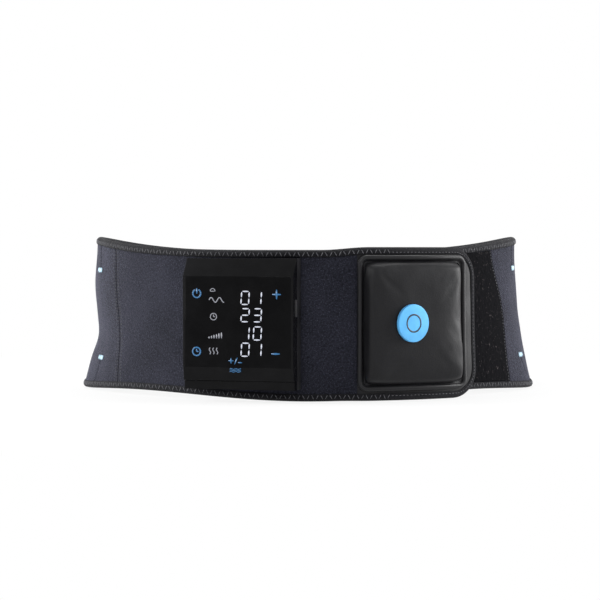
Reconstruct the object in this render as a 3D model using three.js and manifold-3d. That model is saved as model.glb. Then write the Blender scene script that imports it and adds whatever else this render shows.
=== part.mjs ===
// A heat and nerve-stimulation waist belt, closed into a loop and standing on its lower edge.
// Millimetres, +Z up. The wearer stands inside the loop and the control unit faces -Y.
// Most pieces lie in the belt's layers, so they are built as flat grids and bent round the loop.

import * as THREE from "three";
import * as BufferGeometryUtils from "three/addons/utils/BufferGeometryUtils.js";
import Module from "manifold-3d";

const wasm = await Module();
wasm.setup();

const rad = THREE.MathUtils.degToRad;

// ---------------------------------------------------------------- driving dimensions

// The loop, measured on the strap's outer face.
const LOOP_HALF_WIDTH = 163.5;
const LOOP_HALF_DEPTH = 160;
const STRAP_HEIGHT = 105.5;
const SIDE_RISE = 10.5; // how much higher the top edge is at the sides than in front
const FRONT_LIFT = 4.5; // how far the lower edge arches up half way to the sides
const SIDE_FLARE = 11.5; // how far the lower edge spreads at the sides
const FLARE_HEIGHT = 62;

// Fabric layers, each counted from the one outside it.
const SHELL = 2.6;
const LEAD_SPACE = 0.9; // between shell and lining, for the flat leads and the heating film
const LINING = 0.8;
const TAPE = 0.6;
const TAPE_WIDTH = 5;
const GAP = 0.3; // clearance between pieces that touch
const FACET = 12; // longest flat stretch of a fabric piece along the loop
const TAPE_FACET = 15.5;
const FINE_FACET = 7; // the same for small stiff pieces

// Places round the loop, in degrees from the front centre, positive towards the pouch.
const LEFT_SEAM = -60;
const LEFT_BACK_SEAM = -112;
const RIGHT_BACK_SEAM = 112;
const RIGHT_SEAM = 60;
const HINGE = 8;
const TAIL_END = 13;
const UNIT_ANGLE = -16.2;
const TACK_ANGLE = 72;
const TAIL_RISE_FROM = 47; // the tail comes out from under the flap between these
const TAIL_RISE_TO = 76;

// The strap end that carries the pouch.
const FLAP_LENGTH = 107.5;
const FLAP_RISE = 2; // how much higher than the strap it is
const FLAP_CORNER = 22;
const FLAP_STEP = 3; // how far its free end stands outside the strap
const HOOK_THICK = 1;
const LOOP_THICK = 1.2;
const PATCH_MARGIN = 9; // from the strap's edges to the two fastening patches

// The control unit.
const UNIT_WIDTH = 80;
const UNIT_HEIGHT = 91;
const UNIT_BOTTOM = 8.7; // height above the floor
const UNIT_DEPTH = 14;
const UNIT_SPLIT = 4; // depth at which its two shells meet
const UNIT_WALL = 2;
const UNIT_TOP_DEPTH = 4.6; // where the front slope ends above
const STRIP_DEPTH = 10.5; // the lower strip and the band above it, before the lens
const STRIP_HEIGHT = 6.5;
const STRIP_SLANT = 0.6;
const BAND_DEPTH = 12.6;
const BAND_SWELL = 0.5;
const BAND_KNEE = 5; // below the lens
const FLOOR_DEPTH = 2.3; // depth of the back shell's inner floor
const BOARD_STAND = 2.1; // board above that floor
const PILLAR_U = 20;
const PILLAR_RADIUS = 2;
const LENS_HEIGHT = 63;
const LENS_BOTTOM = 15.5; // above the unit's lower end
const LENS_THICK = 1.2;
const LENS_SIDE = 1.6; // rim left beside the lens
const LENS_LEDGE = 3; // that the lens rests on
const BOARD_THICK = 1.6;
const BOARD_WIDTH = 66;
const BOARD_TOP_CLEAR = 8; // below the unit's upper end, where its front slopes back
const SCREW_RADIUS = 1.5;
const SCREW_HEAD = 2.8;
const SCREW_U = 31;
const SCREW_V = 36;
const SCREW_HEAD_THICK = 1.2;
const SCREW_END_DEPTH = 2.8;
const BOSS_DEPTH = 3.2; // depth at which a screw boss ends
const POST_CLEARANCE = 1.8; // board cut back round a boss
const BUTTON_LENGTH = 12;
const BUTTON_HEIGHT = 4;
const BUTTON_V = 56.5; // above the unit's lower end
const BUTTON_TRAVEL = 0.6;
const BUTTON_PROUD = 1;
const BUTTON_DEPTH = 1.6; // outside the shells' joint
const BUTTON_LIP = 0.9; // flange round the cap
const BUTTON_FLANGE = 1.1;
const PORT_WIDTH = 9;
const PORT_HEIGHT = 3.3;
const PORT_LENGTH = 7;
const PORT_WALL = 0.5;
const PORT_DEPTH = 0.6; // outside the shells' joint

// The pouch and the battery in it.
const POUCH_WIDTH = 84;
const POUCH_HEIGHT = 95;
const POUCH_BOTTOM = 7;
const POUCH_CORNER = 7;
const POUCH_ALONG = 52.2; // from the hinge line to the pouch's middle
const RIM_RADIUS = 1.9;
const PAD_INSET = 3;
const PAD_EDGE = 3; // thickness of the cover where it meets the piping
const PAD_PINCH = 0.05; // how much its corners draw in
const BATTERY_WIDTH = 56;
const BATTERY_HEIGHT = 66;
const BATTERY_THICK = 7;
const BATTERY_WALL = 1;
const BOARD_STRIP = 8; // height of the guard board above the cells
const COVER_WALL = 1.8;
const BADGE_RADIUS = 13.25;
const BADGE_THICK = 3;
const BADGE_U = -4;

// Electrodes, heater and leads.
const PAD_COUNT = 4;
const PAD_WIDTH = 42;
const PAD_HEIGHT = 62;
const PAD_THICK = 2;
const PAD_PITCH = 17; // degrees between neighbouring pads
const FILM_THICK = 0.3;
const FILM_SPAN = 33; // degrees each way from the back centre
const FILM_HEIGHT = 70;
const LEAD_WIDTH = 4;
const LEAD_HEIGHT = 82; // above the flared part of the sides
const TACK_LENGTH = 10;
const TACK_HEIGHT = 3.6;
const TACK_MARGIN = 26; // from the strap's edge to the tack
const PLATE_THICK = 1.6;
const PLATE_MARGIN = 4;
const CUT = 1; // how far a cutting tool stands past what it cuts
const REACH = 14; // deeper than every layer behind the control unit

// ---------------------------------------------------------------- sizes that follow

const LAYERS = SHELL + LEAD_SPACE + LINING;
const MEAN_RADIUS = (LOOP_HALF_WIDTH + LOOP_HALF_DEPTH) / 2;
const FLAP_HEIGHT = STRAP_HEIGHT + FLAP_RISE;
const OVERLAP = LAYERS + HOOK_THICK + LOOP_THICK + 3 * GAP;
const FLAP_SPAN = THREE.MathUtils.radToDeg(FLAP_LENGTH / MEAN_RADIUS);
const EDGE_INSET = TAPE + GAP; // from a strap edge to the fabric inside its tape
const degreesOf = (length) => THREE.MathUtils.radToDeg(length / MEAN_RADIUS);
const facets = (from, to, longest) => Math.ceil((rad(to - from) * MEAN_RADIUS) / longest);

const frontOnly = (angle) => (Math.abs(angle) < 90 ? 1 : 0);
const lower = (angle) => FRONT_LIFT * Math.sin(2 * rad(angle)) ** 2 * frontOnly(angle);
const upper = (angle) => STRAP_HEIGHT + SIDE_RISE * Math.sin(rad(angle)) ** 4;
const smooth = (from, to, x) => THREE.MathUtils.smoothstep(x, from, to);

// How far the flap's outer face stands off the loop, and how far the tail under it dips.
const flapShift = (angle) => FLAP_STEP * smooth(HINGE, HINGE + FLAP_SPAN, angle);
const underFlap = (angle) => 1 - smooth(TAIL_RISE_FROM, TAIL_RISE_TO, angle);
const tailShift = (angle) => (flapShift(angle) - OVERLAP) * underFlap(angle);
const flat = () => 0;

// A point of the belt: angle in degrees, height, and distance outside the strap's outer face.
function onLoop(angle, height, out) {
  const turn = rad(angle);
  const low = Math.max(0, 1 - height / FLARE_HEIGHT);
  const flare = SIDE_FLARE * low ** 1.6 * Math.sin(turn) ** 4;
  const x = (LOOP_HALF_WIDTH + flare + out) * Math.sin(turn);
  const y = -(LOOP_HALF_DEPTH + out) * Math.cos(turn);
  return new THREE.Vector3(x, y, height);
}

// A frame that rests on the belt between two near points: x across, -y outwards, z up.
function frameBetween(origin, before, after) {
  const frame = new THREE.Group();
  frame.position.copy(origin);
  frame.rotation.z = Math.atan2(after.y - before.y, after.x - before.x);
  frame.updateMatrixWorld();
  return frame;
}

// ---------------------------------------------------------------- geometry helpers

// Keeps only positions and shares equal corners, so that the mesh is one closed surface.
function closed(geometry) {
  const bare = geometry.clone();
  bare.deleteAttribute("normal");
  bare.deleteAttribute("uv");
  return BufferGeometryUtils.mergeVertices(bare, 1e-4);
}

// Moves every corner of a geometry by a function that returns its new place.
function bend(geometry, place) {
  const bent = closed(geometry);
  const corners = bent.getAttribute("position");
  for (let i = 0; i < corners.count; i++) {
    const p = place(corners.getX(i), corners.getY(i), corners.getZ(i));
    corners.setXYZ(i, p.x, p.y, p.z);
  }
  return bent;
}

function solid(geometry) {
  const shape = closed(geometry);
  const vertProperties = new Float32Array(shape.getAttribute("position").array);
  const triVerts = new Uint32Array(shape.getIndex().array);
  return new wasm.Manifold(new wasm.Mesh({ numProp: 3, vertProperties, triVerts }));
}

function geometryOf(manifold) {
  const mesh = manifold.getMesh();
  const geometry = new THREE.BufferGeometry();
  geometry.setAttribute("position", new THREE.BufferAttribute(mesh.vertProperties, 3));
  geometry.setIndex(new THREE.BufferAttribute(mesh.triVerts, 1));
  return geometry;
}

function cut(geometry, ...tools) {
  const left = tools.reduce((body, tool) => body.subtract(solid(tool)), solid(geometry));
  return geometryOf(left);
}

function join(...geometries) {
  return geometryOf(geometries.map(solid).reduce((sum, next) => sum.add(next)));
}

// A box from its lowest corner and its size.
function box(x, y, z, width, depth, height) {
  const geometry = new THREE.BoxGeometry(width, depth, height);
  return geometry.translate(x + width / 2, y + depth / 2, z + height / 2);
}

// A rod along the local outward direction, -Y.
function rod(u, v, radius, from, to, sides = 16) {
  const geometry = new THREE.CylinderGeometry(radius, radius, to - from, sides);
  return geometry.translate(u, -(from + to) / 2, v);
}

// Rows of a sheet crowd towards its lower, flared edge.
const ROW_CROWDING = 1.5;

// A sheet in the belt's layers. low and high give its height limits at an angle, shift its
// distance from the strap's outer face, and top and thick its place among the layers.
function sheet({ from, to, low, high, shift = flat, top, thick, facet = FACET, rows = 5, spread }) {
  const grid = new THREE.BoxGeometry(1, 1, 1, facets(from, to, facet), rows, 1);
  return bend(grid, (x, y, z) => {
    const share = spread ? spread(x + 0.5) : x + 0.5;
    const angle = from + (to - from) * share;
    const height = low(angle) + (high(angle) - low(angle)) * (y + 0.5) ** ROW_CROWDING;
    return onLoop(angle, height, shift(angle) + top + (z - 0.5) * thick);
  });
}

// Folded tape round an edge: x of the section runs inwards from the edge, y outwards.
function tape(steps, place) {
  const out = GAP + TAPE;
  const back = -(LAYERS + GAP + TAPE);
  const section = new THREE.Shape();
  section.moveTo(0, back);
  section.lineTo(TAPE_WIDTH, back);
  section.lineTo(TAPE_WIDTH, back + TAPE);
  section.lineTo(TAPE, back + TAPE);
  section.lineTo(TAPE, out - TAPE);
  section.lineTo(TAPE_WIDTH, out - TAPE);
  section.lineTo(TAPE_WIDTH, out);
  section.lineTo(0, out);
  const strip = new THREE.ExtrudeGeometry(section, { depth: 1, steps, bevelEnabled: false });
  return bend(strip, (inward, outward, along) => place(along, inward, outward));
}

// ---------------------------------------------------------------- scene helpers

const belt = new THREE.Group();

function material(color, roughness, metalness = 0) {
  return () => new THREE.MeshStandardMaterial({ color, roughness, metalness });
}

const finishes = {
  neoprene: material(0x23242f, 0.85),
  lining: material(0x1c1d24, 0.8),
  tape: material(0x15151a, 0.7),
  loopPile: material(0x0b0b0d, 1),
  hooks: material(0x101013, 0.6),
  leather: material(0x0c0c0e, 0.45),
  gloss: material(0x050506, 0.12),
  plastic: material(0x121214, 0.4),
  display: material(0xe8f2ff, 0.4),
  board: material(0x14532d, 0.5),
  chip: material(0x1a1a1c, 0.5),
  steel: material(0xb8bcc2, 0.3, 1),
  copper: material(0xb87333, 0.35, 1),
  cell: material(0x9aa3ad, 0.35, 0.6),
  rubber: material(0x18181b, 0.7),
  film: material(0xa0522d, 0.5),
  badge: material(0x64b9f0, 0.5),
  tack: material(0x9fd4f2, 0.6),
};

function add(parent, name, finish, geometry) {
  const mesh = new THREE.Mesh(geometry, finishes[finish]());
  mesh.name = name;
  parent.add(mesh);
}

// ---------------------------------------------------------------- the strap

const fabricLow = (angle) => lower(angle) + EDGE_INSET;
const fabricHigh = (angle) => upper(angle) - EDGE_INSET;
const liningTop = -(SHELL + LEAD_SPACE);

const strapPanels = [
  { name: "left_side", from: LEFT_BACK_SEAM, to: LEFT_SEAM },
  { name: "back", from: RIGHT_BACK_SEAM, to: 360 + LEFT_BACK_SEAM },
  { name: "right_side", from: RIGHT_SEAM, to: RIGHT_BACK_SEAM, shift: tailShift },
  { name: "tail", from: TAIL_END, to: RIGHT_SEAM, shift: tailShift },
];
const seam = degreesOf(GAP / 2);
const tailInset = degreesOf(EDGE_INSET);

// The lower and upper limits repeat every turn, so that a panel may pass behind the wearer.
const wrapAngle = (angle) => (angle > 180 ? angle - 360 : angle);
const panelLow = (angle) => fabricLow(wrapAngle(angle));
const panelHigh = (angle) => fabricHigh(wrapAngle(angle));

function screwPlaces() {
  const middle = UNIT_HEIGHT / 2;
  return [-1, 1].flatMap((side) => [-1, 1].map((end) => [side * SCREW_U, middle + end * SCREW_V]));
}

// The control unit's own frame, with its origin at the unit's lower end.
const unitFrame = frameBetween(
  onLoop(UNIT_ANGLE, UNIT_BOTTOM, 0),
  onLoop(UNIT_ANGLE - 1, UNIT_BOTTOM, 0),
  onLoop(UNIT_ANGLE + 1, UNIT_BOTTOM, 0),
);
const toUnit = unitFrame.matrixWorld.clone().invert();

const screwHoles = screwPlaces().map(([u, v]) => {
  const hole = rod(u, v, SCREW_RADIUS + GAP, -REACH, CUT, 12);
  return hole.applyMatrix4(unitFrame.matrixWorld);
});

const front = { from: LEFT_SEAM + seam, to: HINGE - seam, low: fabricLow, high: fabricHigh };
const frontShell = sheet({ ...front, top: 0, thick: SHELL });
const frontLining = sheet({ ...front, top: liningTop, thick: LINING });
add(belt, "front_panel", "neoprene", cut(frontShell, ...screwHoles));
add(belt, "front_lining", "lining", cut(frontLining, ...screwHoles));

for (const panel of strapPanels) {
  const start = panel.name === "tail" ? panel.from + tailInset : panel.from + seam;
  const span = { ...panel, from: start, to: panel.to - seam, low: panelLow, high: panelHigh };
  add(belt, `${panel.name}_panel`, "neoprene", sheet({ ...span, top: 0, thick: SHELL }));
  add(belt, `${panel.name}_lining`, "lining", sheet({ ...span, top: liningTop, thick: LINING }));
}

// The strap's edge runs from the tail's end, behind the wearer, to the hinge line.
const edgeSpan = 360 + HINGE - seam - TAIL_END;
const edgeShift = (angle) => (angle < 180 ? tailShift(angle) : 0);

function edgeTape(edge, direction) {
  return tape(facets(0, edgeSpan, TAPE_FACET), (along, inward, outward) => {
    const share = direction > 0 ? along : 1 - along;
    const angle = TAIL_END + edgeSpan * share;
    const height = edge(wrapAngle(angle)) + direction * inward;
    return onLoop(angle, height, edgeShift(angle) + outward);
  });
}

add(belt, "lower_binding", "tape", edgeTape(lower, 1));
add(belt, "upper_binding", "tape", edgeTape(upper, -1));

// The tail's end has its own short tape between the two long ones.
const END_STEPS = 4;
const endLow = lower(TAIL_END) + TAPE_WIDTH + GAP;
const endHigh = upper(TAIL_END) - TAPE_WIDTH - GAP;
const tailEnd = tape(END_STEPS, (along, inward, outward) => {
  const angle = TAIL_END + degreesOf(inward);
  const height = endHigh + (endLow - endHigh) * along;
  return onLoop(angle, height, tailShift(angle) + outward);
});
add(belt, "tail_end_binding", "tape", tailEnd);

// ---------------------------------------------------------------- fastening patches

const patchLow = (angle) => lower(angle) + PATCH_MARGIN;
const patchHigh = (angle) => upper(angle) - PATCH_MARGIN;
const loopPatch = {
  from: TAIL_END + degreesOf(TAPE_WIDTH + GAP),
  to: RIGHT_SEAM - seam,
  low: patchLow,
  high: patchHigh,
  shift: tailShift,
  top: GAP + LOOP_THICK,
  thick: LOOP_THICK,
};
add(belt, "loop_patch", "loopPile", sheet(loopPatch));

const flapBody = new THREE.Group();
const hookPatch = {
  from: TAIL_END + degreesOf(TAPE_WIDTH + GAP),
  to: HINGE + FLAP_SPAN - degreesOf(TAPE_WIDTH + GAP),
  low: () => FLAP_CORNER,
  high: () => FLAP_HEIGHT - FLAP_CORNER,
  shift: flapShift,
  top: -LAYERS - GAP,
  thick: HOOK_THICK,
};
add(flapBody, "hook_patch", "hooks", sheet(hookPatch));

// ---------------------------------------------------------------- the flap

// How far the flap's outline has drawn in at a distance along it, for an inset of the edge.
function cornerRise(along, inset) {
  const radius = FLAP_CORNER - inset;
  const past = along - (FLAP_LENGTH - FLAP_CORNER);
  if (past <= 0) return inset;
  return inset + radius - Math.sqrt(Math.max(0, radius ** 2 - past ** 2));
}

function flapSheet(top, thick) {
  const span = FLAP_LENGTH - EDGE_INSET;
  const along = (angle) => rad(angle - HINGE) * MEAN_RADIUS;
  return sheet({
    from: HINGE + seam,
    to: HINGE + degreesOf(span),
    low: (angle) => cornerRise(along(angle), EDGE_INSET),
    high: (angle) => FLAP_HEIGHT - cornerRise(along(angle), EDGE_INSET),
    shift: flapShift,
    top,
    thick,
    facet: FINE_FACET,
    rows: 4,
    spread: (share) => Math.sin((share * Math.PI) / 2),
  });
}

add(flapBody, "flap_panel", "leather", flapSheet(0, SHELL));
add(flapBody, "flap_lining", "lining", flapSheet(liningTop, LINING));

// The outline in flat measure: along the flap, and up.
const flapEdge = new THREE.Path();
flapEdge.moveTo(rad(seam) * MEAN_RADIUS, 0);
flapEdge.lineTo(FLAP_LENGTH - FLAP_CORNER, 0);
flapEdge.absarc(FLAP_LENGTH - FLAP_CORNER, FLAP_CORNER, FLAP_CORNER, -Math.PI / 2, 0);
flapEdge.lineTo(FLAP_LENGTH, FLAP_HEIGHT - FLAP_CORNER);
const upperCorner = FLAP_HEIGHT - FLAP_CORNER;
flapEdge.absarc(FLAP_LENGTH - FLAP_CORNER, upperCorner, FLAP_CORNER, 0, Math.PI / 2);
flapEdge.lineTo(rad(seam) * MEAN_RADIUS, FLAP_HEIGHT);

function onFlap(along, height, out) {
  const angle = HINGE + degreesOf(along);
  return onLoop(angle, height, flapShift(angle) + out);
}

const flapTape = tape(Math.ceil(flapEdge.getLength() / FINE_FACET), (along, inward, outward) => {
  const point = flapEdge.getPointAt(along);
  const heading = flapEdge.getTangentAt(along);
  return onFlap(point.x - heading.y * inward, point.y + heading.x * inward, outward);
});
add(flapBody, "flap_binding", "tape", flapTape);

// ---------------------------------------------------------------- the pouch

const pouchMiddle = POUCH_BOTTOM + POUCH_HEIGHT / 2;

function roundedOutline(width, height, corner) {
  const outline = new THREE.Path();
  const x = width / 2 - corner;
  const y = height / 2 - corner;
  outline.moveTo(x + corner, -y);
  outline.lineTo(x + corner, y);
  outline.absarc(x, y, corner, 0, Math.PI / 2);
  outline.lineTo(-x, y + corner);
  outline.absarc(-x, y, corner, Math.PI / 2, Math.PI);
  outline.lineTo(-x - corner, -y);
  outline.absarc(-x, -y, corner, Math.PI, 1.5 * Math.PI);
  outline.lineTo(x, -y - corner);
  outline.absarc(x, -y, corner, 1.5 * Math.PI, 2 * Math.PI);
  return outline;
}

// Piping: a ring whose circle becomes the rounded outline and whose tube stays round.
const RING = 10;
const RIM_OUTLINE = roundedOutline(
  POUCH_WIDTH - 2 * RIM_RADIUS,
  POUCH_HEIGHT - 2 * RIM_RADIUS,
  POUCH_CORNER,
);
const rim = bend(new THREE.TorusGeometry(RING, RIM_RADIUS, 6, 56), (x, y, z) => {
  const turn = (Math.atan2(y, x) / (2 * Math.PI) + 1) % 1;
  const outward = Math.hypot(x, y) - RING;
  const point = RIM_OUTLINE.getPointAt(turn);
  const heading = RIM_OUTLINE.getTangentAt(turn);
  const along = POUCH_ALONG + point.x + heading.y * outward;
  const height = pouchMiddle + point.y - heading.x * outward;
  return onFlap(along, height, z + RIM_RADIUS + GAP);
});
add(flapBody, "pouch_piping", "leather", rim);

// The pouch's own frame, with its origin at the pouch's middle.
const pouchFrame = frameBetween(
  onFlap(POUCH_ALONG, pouchMiddle, 0),
  onFlap(POUCH_ALONG - 1, pouchMiddle, 0),
  onFlap(POUCH_ALONG + 1, pouchMiddle, 0),
);
flapBody.add(pouchFrame);

const BATTERY_BACK = 2 * GAP;
const BATTERY_FRONT = BATTERY_BACK + BATTERY_THICK;
const COVER_FRONT = BATTERY_FRONT + GAP + COVER_WALL;

// The cover's height above the flap: flat over the battery, falling to its sewn edge.
function coverRise(u, v, halfWidth, halfHeight) {
  const side = 1 - smooth(BATTERY_WIDTH / 2 + GAP + COVER_WALL, halfWidth, Math.abs(u));
  const end = 1 - smooth(BATTERY_HEIGHT / 2 + GAP + COVER_WALL, halfHeight, Math.abs(v));
  const level = COVER_FRONT + MEAN_RADIUS * (1 / Math.cos(u / MEAN_RADIUS) - 1);
  return PAD_EDGE + (level - PAD_EDGE) * side * end;
}

const padWidth = POUCH_WIDTH / 2 - 2 * RIM_RADIUS - PAD_INSET;
const padHeight = POUCH_HEIGHT / 2 - 2 * RIM_RADIUS - PAD_INSET;
const cover = bend(new THREE.BoxGeometry(2, 2, 1, 16, 16, 1), (x, y, z) => {
  const pinch = 1 - PAD_PINCH * (x * y) ** 4;
  const u = padWidth * x * pinch;
  const v = padHeight * y * pinch;
  const rise = coverRise(u, v, padWidth, padHeight);
  const out = GAP + (rise - GAP) * (z + 0.5);
  return onFlap(POUCH_ALONG + u, pouchMiddle + v, out);
});
const coverPocket = box(
  -BATTERY_WIDTH / 2 - GAP,
  -BATTERY_FRONT - GAP,
  -BATTERY_HEIGHT / 2 - GAP,
  BATTERY_WIDTH + 2 * GAP,
  BATTERY_FRONT + REACH,
  BATTERY_HEIGHT + 2 * GAP,
);
const coverCut = cut(cover, coverPocket.applyMatrix4(pouchFrame.matrixWorld));
add(flapBody, "pouch_cover", "leather", coverCut);

// A tray with one open side; open faces outwards when side is 1 and inwards when it is -1.
function batteryShell(from, to, side) {
  const hollowFrom = side > 0 ? from + BATTERY_WALL : from - CUT;
  const hollowTo = side > 0 ? to + CUT : to - BATTERY_WALL;
  const w = BATTERY_WIDTH;
  const h = BATTERY_HEIGHT;
  const outer = box(-w / 2, -to, -h / 2, w, to - from, h);
  const wall = BATTERY_WALL;
  const hollow = box(
    wall - w / 2,
    -hollowTo,
    wall - h / 2,
    w - 2 * wall,
    hollowTo - hollowFrom,
    h - 2 * wall,
  );
  return cut(outer, hollow);
}

const batterySplit = BATTERY_BACK + BATTERY_THICK / 2;
const backShell = batteryShell(BATTERY_BACK, batterySplit - GAP / 2, 1);
const frontCover = batteryShell(batterySplit + GAP / 2, BATTERY_FRONT, -1);
add(pouchFrame, "battery_case_back", "plastic", backShell);
add(pouchFrame, "battery_case_front", "plastic", frontCover);

const cellThick = BATTERY_THICK - 2 * BATTERY_WALL - 2 * GAP;
const innerWidth = BATTERY_WIDTH - 2 * BATTERY_WALL - 2 * GAP;
const innerHeight = BATTERY_HEIGHT - 2 * BATTERY_WALL - 2 * GAP;
const cellWidth = (innerWidth - GAP) / 2;
const cellHeight = innerHeight - BOARD_STRIP - GAP;
const cellFront = -(BATTERY_BACK + BATTERY_WALL + GAP + cellThick);
[-1, 1].forEach((side, index) => {
  const x = side < 0 ? -innerWidth / 2 : GAP / 2;
  const shape = box(x, cellFront, -innerHeight / 2, cellWidth, cellThick, cellHeight);
  add(pouchFrame, `battery_cell_${index + 1}`, "cell", shape);
});
const boardBottom = innerHeight / 2 - BOARD_STRIP;
const guard = box(-innerWidth / 2, cellFront, boardBottom, innerWidth, BOARD_THICK, BOARD_STRIP);
add(pouchFrame, "battery_guard_board", "board", guard);

const badge = rod(BADGE_U, 0, BADGE_RADIUS, COVER_FRONT + GAP, COVER_FRONT + GAP + BADGE_THICK, 28);
add(pouchFrame, "pouch_badge", "badge", badge);

// ---------------------------------------------------------------- the control unit

// The side outline of the unit: depth outwards against height.
const slopeStart = LENS_BOTTOM + LENS_HEIGHT;

function extrudeAcross(outline, width) {
  const shape = new THREE.Shape(outline.map(([depth, height]) => new THREE.Vector2(-depth, height)));
  const body = new THREE.ExtrudeGeometry(shape, { depth: width, steps: 1, bevelEnabled: false });
  return bend(body, (x, y, z) => new THREE.Vector3(z - width / 2, x, y));
}

const bezelOutline = [
  [UNIT_SPLIT + GAP, 0],
  [STRIP_DEPTH, 0],
  [STRIP_DEPTH, STRIP_HEIGHT - STRIP_SLANT],
  [BAND_DEPTH, STRIP_HEIGHT],
  [BAND_DEPTH + BAND_SWELL, LENS_BOTTOM - BAND_KNEE],
  [UNIT_DEPTH, LENS_BOTTOM - STRIP_SLANT],
  [UNIT_DEPTH, slopeStart + STRIP_SLANT],
  [UNIT_TOP_DEPTH, UNIT_HEIGHT],
  [UNIT_SPLIT + GAP, UNIT_HEIGHT],
];
const lensWidth = UNIT_WIDTH - 2 * LENS_SIDE;
const lensBack = UNIT_DEPTH - LENS_THICK;
const ledge = lensBack - GAP - UNIT_WALL / 2;
const inside = UNIT_WIDTH - 2 * UNIT_WALL;

// The cavity follows the outline a wall's thickness inside it.
const cavityTop = UNIT_HEIGHT - 2.5 * UNIT_WALL;
const cavityOutline = [
  [UNIT_SPLIT - CUT, UNIT_WALL],
  [STRIP_DEPTH - UNIT_WALL, UNIT_WALL],
  [STRIP_DEPTH - UNIT_WALL, STRIP_HEIGHT],
  [ledge, LENS_BOTTOM],
  [ledge, slopeStart],
  [UNIT_SPLIT + CUT, cavityTop],
  [UNIT_SPLIT - CUT, cavityTop],
];
const recess = box(
  -lensWidth / 2,
  -UNIT_DEPTH - CUT,
  LENS_BOTTOM,
  lensWidth,
  LENS_THICK + GAP + CUT,
  LENS_HEIGHT,
);
const window = box(
  LENS_LEDGE - lensWidth / 2,
  -UNIT_DEPTH,
  LENS_BOTTOM + LENS_LEDGE,
  lensWidth - 2 * LENS_LEDGE,
  UNIT_DEPTH - UNIT_SPLIT,
  LENS_HEIGHT - 2 * LENS_LEDGE,
);

// Holes in the front shell's right wall for the button and in its lower wall for the port.
const buttonDepth = UNIT_SPLIT + GAP + BUTTON_DEPTH;
const wallFace = UNIT_WIDTH / 2;
const buttonHole = box(
  wallFace - UNIT_WALL - CUT,
  -buttonDepth - BUTTON_HEIGHT - GAP,
  BUTTON_V - BUTTON_LENGTH / 2 - GAP,
  UNIT_WALL + 2 * CUT,
  BUTTON_HEIGHT + 2 * GAP,
  BUTTON_LENGTH + 2 * GAP,
);
const portFront = -UNIT_SPLIT - GAP - PORT_DEPTH - PORT_HEIGHT;
const portHole = box(
  -PORT_WIDTH / 2 - GAP,
  portFront - GAP,
  -CUT,
  PORT_WIDTH + 2 * GAP,
  PORT_HEIGHT + 2 * GAP,
  UNIT_WALL + 2 * CUT,
);
const bezel = cut(
  extrudeAcross(bezelOutline, UNIT_WIDTH),
  extrudeAcross(cavityOutline, inside),
  recess,
  window,
  buttonHole,
  portHole,
);
add(unitFrame, "unit_front_shell", "gloss", bezel);

const lens = box(
  GAP - lensWidth / 2,
  -UNIT_DEPTH,
  LENS_BOTTOM + GAP,
  lensWidth - 2 * GAP,
  LENS_THICK,
  LENS_HEIGHT - 2 * GAP,
);
add(unitFrame, "display_lens", "gloss", lens);

// The back shell is curved behind to sit on the strap, and hollow in front.
const behindUnit = degreesOf(0.75 * UNIT_WIDTH);
const fabricFace = sheet({
  from: UNIT_ANGLE - behindUnit,
  to: UNIT_ANGLE + behindUnit,
  low: () => -REACH,
  high: () => UNIT_BOTTOM + UNIT_HEIGHT + REACH,
  top: GAP,
  thick: 2 * REACH,
  facet: UNIT_WIDTH / 16,
});
fabricFace.applyMatrix4(toUnit);
const backDepth = UNIT_SPLIT + REACH - CUT;
const backBody = box(-UNIT_WIDTH / 2, -UNIT_SPLIT, 0, UNIT_WIDTH, backDepth, UNIT_HEIGHT);
const backHollow = box(
  -inside / 2,
  -UNIT_SPLIT - CUT,
  UNIT_WALL,
  inside,
  UNIT_SPLIT + CUT - FLOOR_DEPTH,
  UNIT_HEIGHT - 2 * UNIT_WALL,
);
const bossRadius = SCREW_RADIUS + GAP;
const bosses = screwPlaces().map(([u, v]) => rod(u, v, bossRadius, -REACH, BOSS_DEPTH, 12));
const boardBack = FLOOR_DEPTH + BOARD_STAND;
const pillars = [-1, 1].map((side) => {
  const middle = UNIT_HEIGHT / 2;
  return rod(side * PILLAR_U, middle, PILLAR_RADIUS, FLOOR_DEPTH - GAP, boardBack - GAP);
});
const backBlock = join(cut(backBody, fabricFace, backHollow, ...bosses), ...pillars);
add(unitFrame, "unit_back_shell", "plastic", backBlock);

// The side button: a cap in the wall's hole and a flange that stops it falling out.
const buttonInner = UNIT_WALL + GAP + BUTTON_FLANGE;
const buttonCap = box(
  wallFace - UNIT_WALL - BUTTON_TRAVEL,
  -buttonDepth - BUTTON_HEIGHT,
  BUTTON_V - BUTTON_LENGTH / 2,
  UNIT_WALL + BUTTON_TRAVEL + BUTTON_PROUD,
  BUTTON_HEIGHT,
  BUTTON_LENGTH,
);
const buttonFlange = box(
  wallFace - buttonInner,
  -buttonDepth - BUTTON_HEIGHT - BUTTON_LIP,
  BUTTON_V - BUTTON_LENGTH / 2 - BUTTON_LIP,
  BUTTON_FLANGE,
  BUTTON_HEIGHT + 2 * BUTTON_LIP,
  BUTTON_LENGTH + 2 * BUTTON_LIP,
);
add(unitFrame, "power_button", "plastic", join(buttonCap, buttonFlange));

// ---------------------------------------------------------------- electronics

const boardFront = boardBack + BOARD_THICK;
const boardLow = UNIT_WALL + PORT_LENGTH + 1 + GAP;
const board = box(
  -BOARD_WIDTH / 2,
  -boardFront,
  boardLow,
  BOARD_WIDTH,
  BOARD_THICK,
  UNIT_HEIGHT - BOARD_TOP_CLEAR - boardLow,
);
const postRadius = bossRadius + POST_CLEARANCE;
const boardPosts = screwPlaces().map(([u, v]) => rod(u, v, postRadius, 0, REACH));
add(unitFrame, "circuit_board", "board", cut(board, ...boardPosts));

const partBack = boardFront + GAP;

// A part on the board: its left end, lower end, width, height and depth.
function mounted(u, v, width, height, depth) {
  return box(u, -partBack - depth, v, width, depth, height);
}

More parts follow.
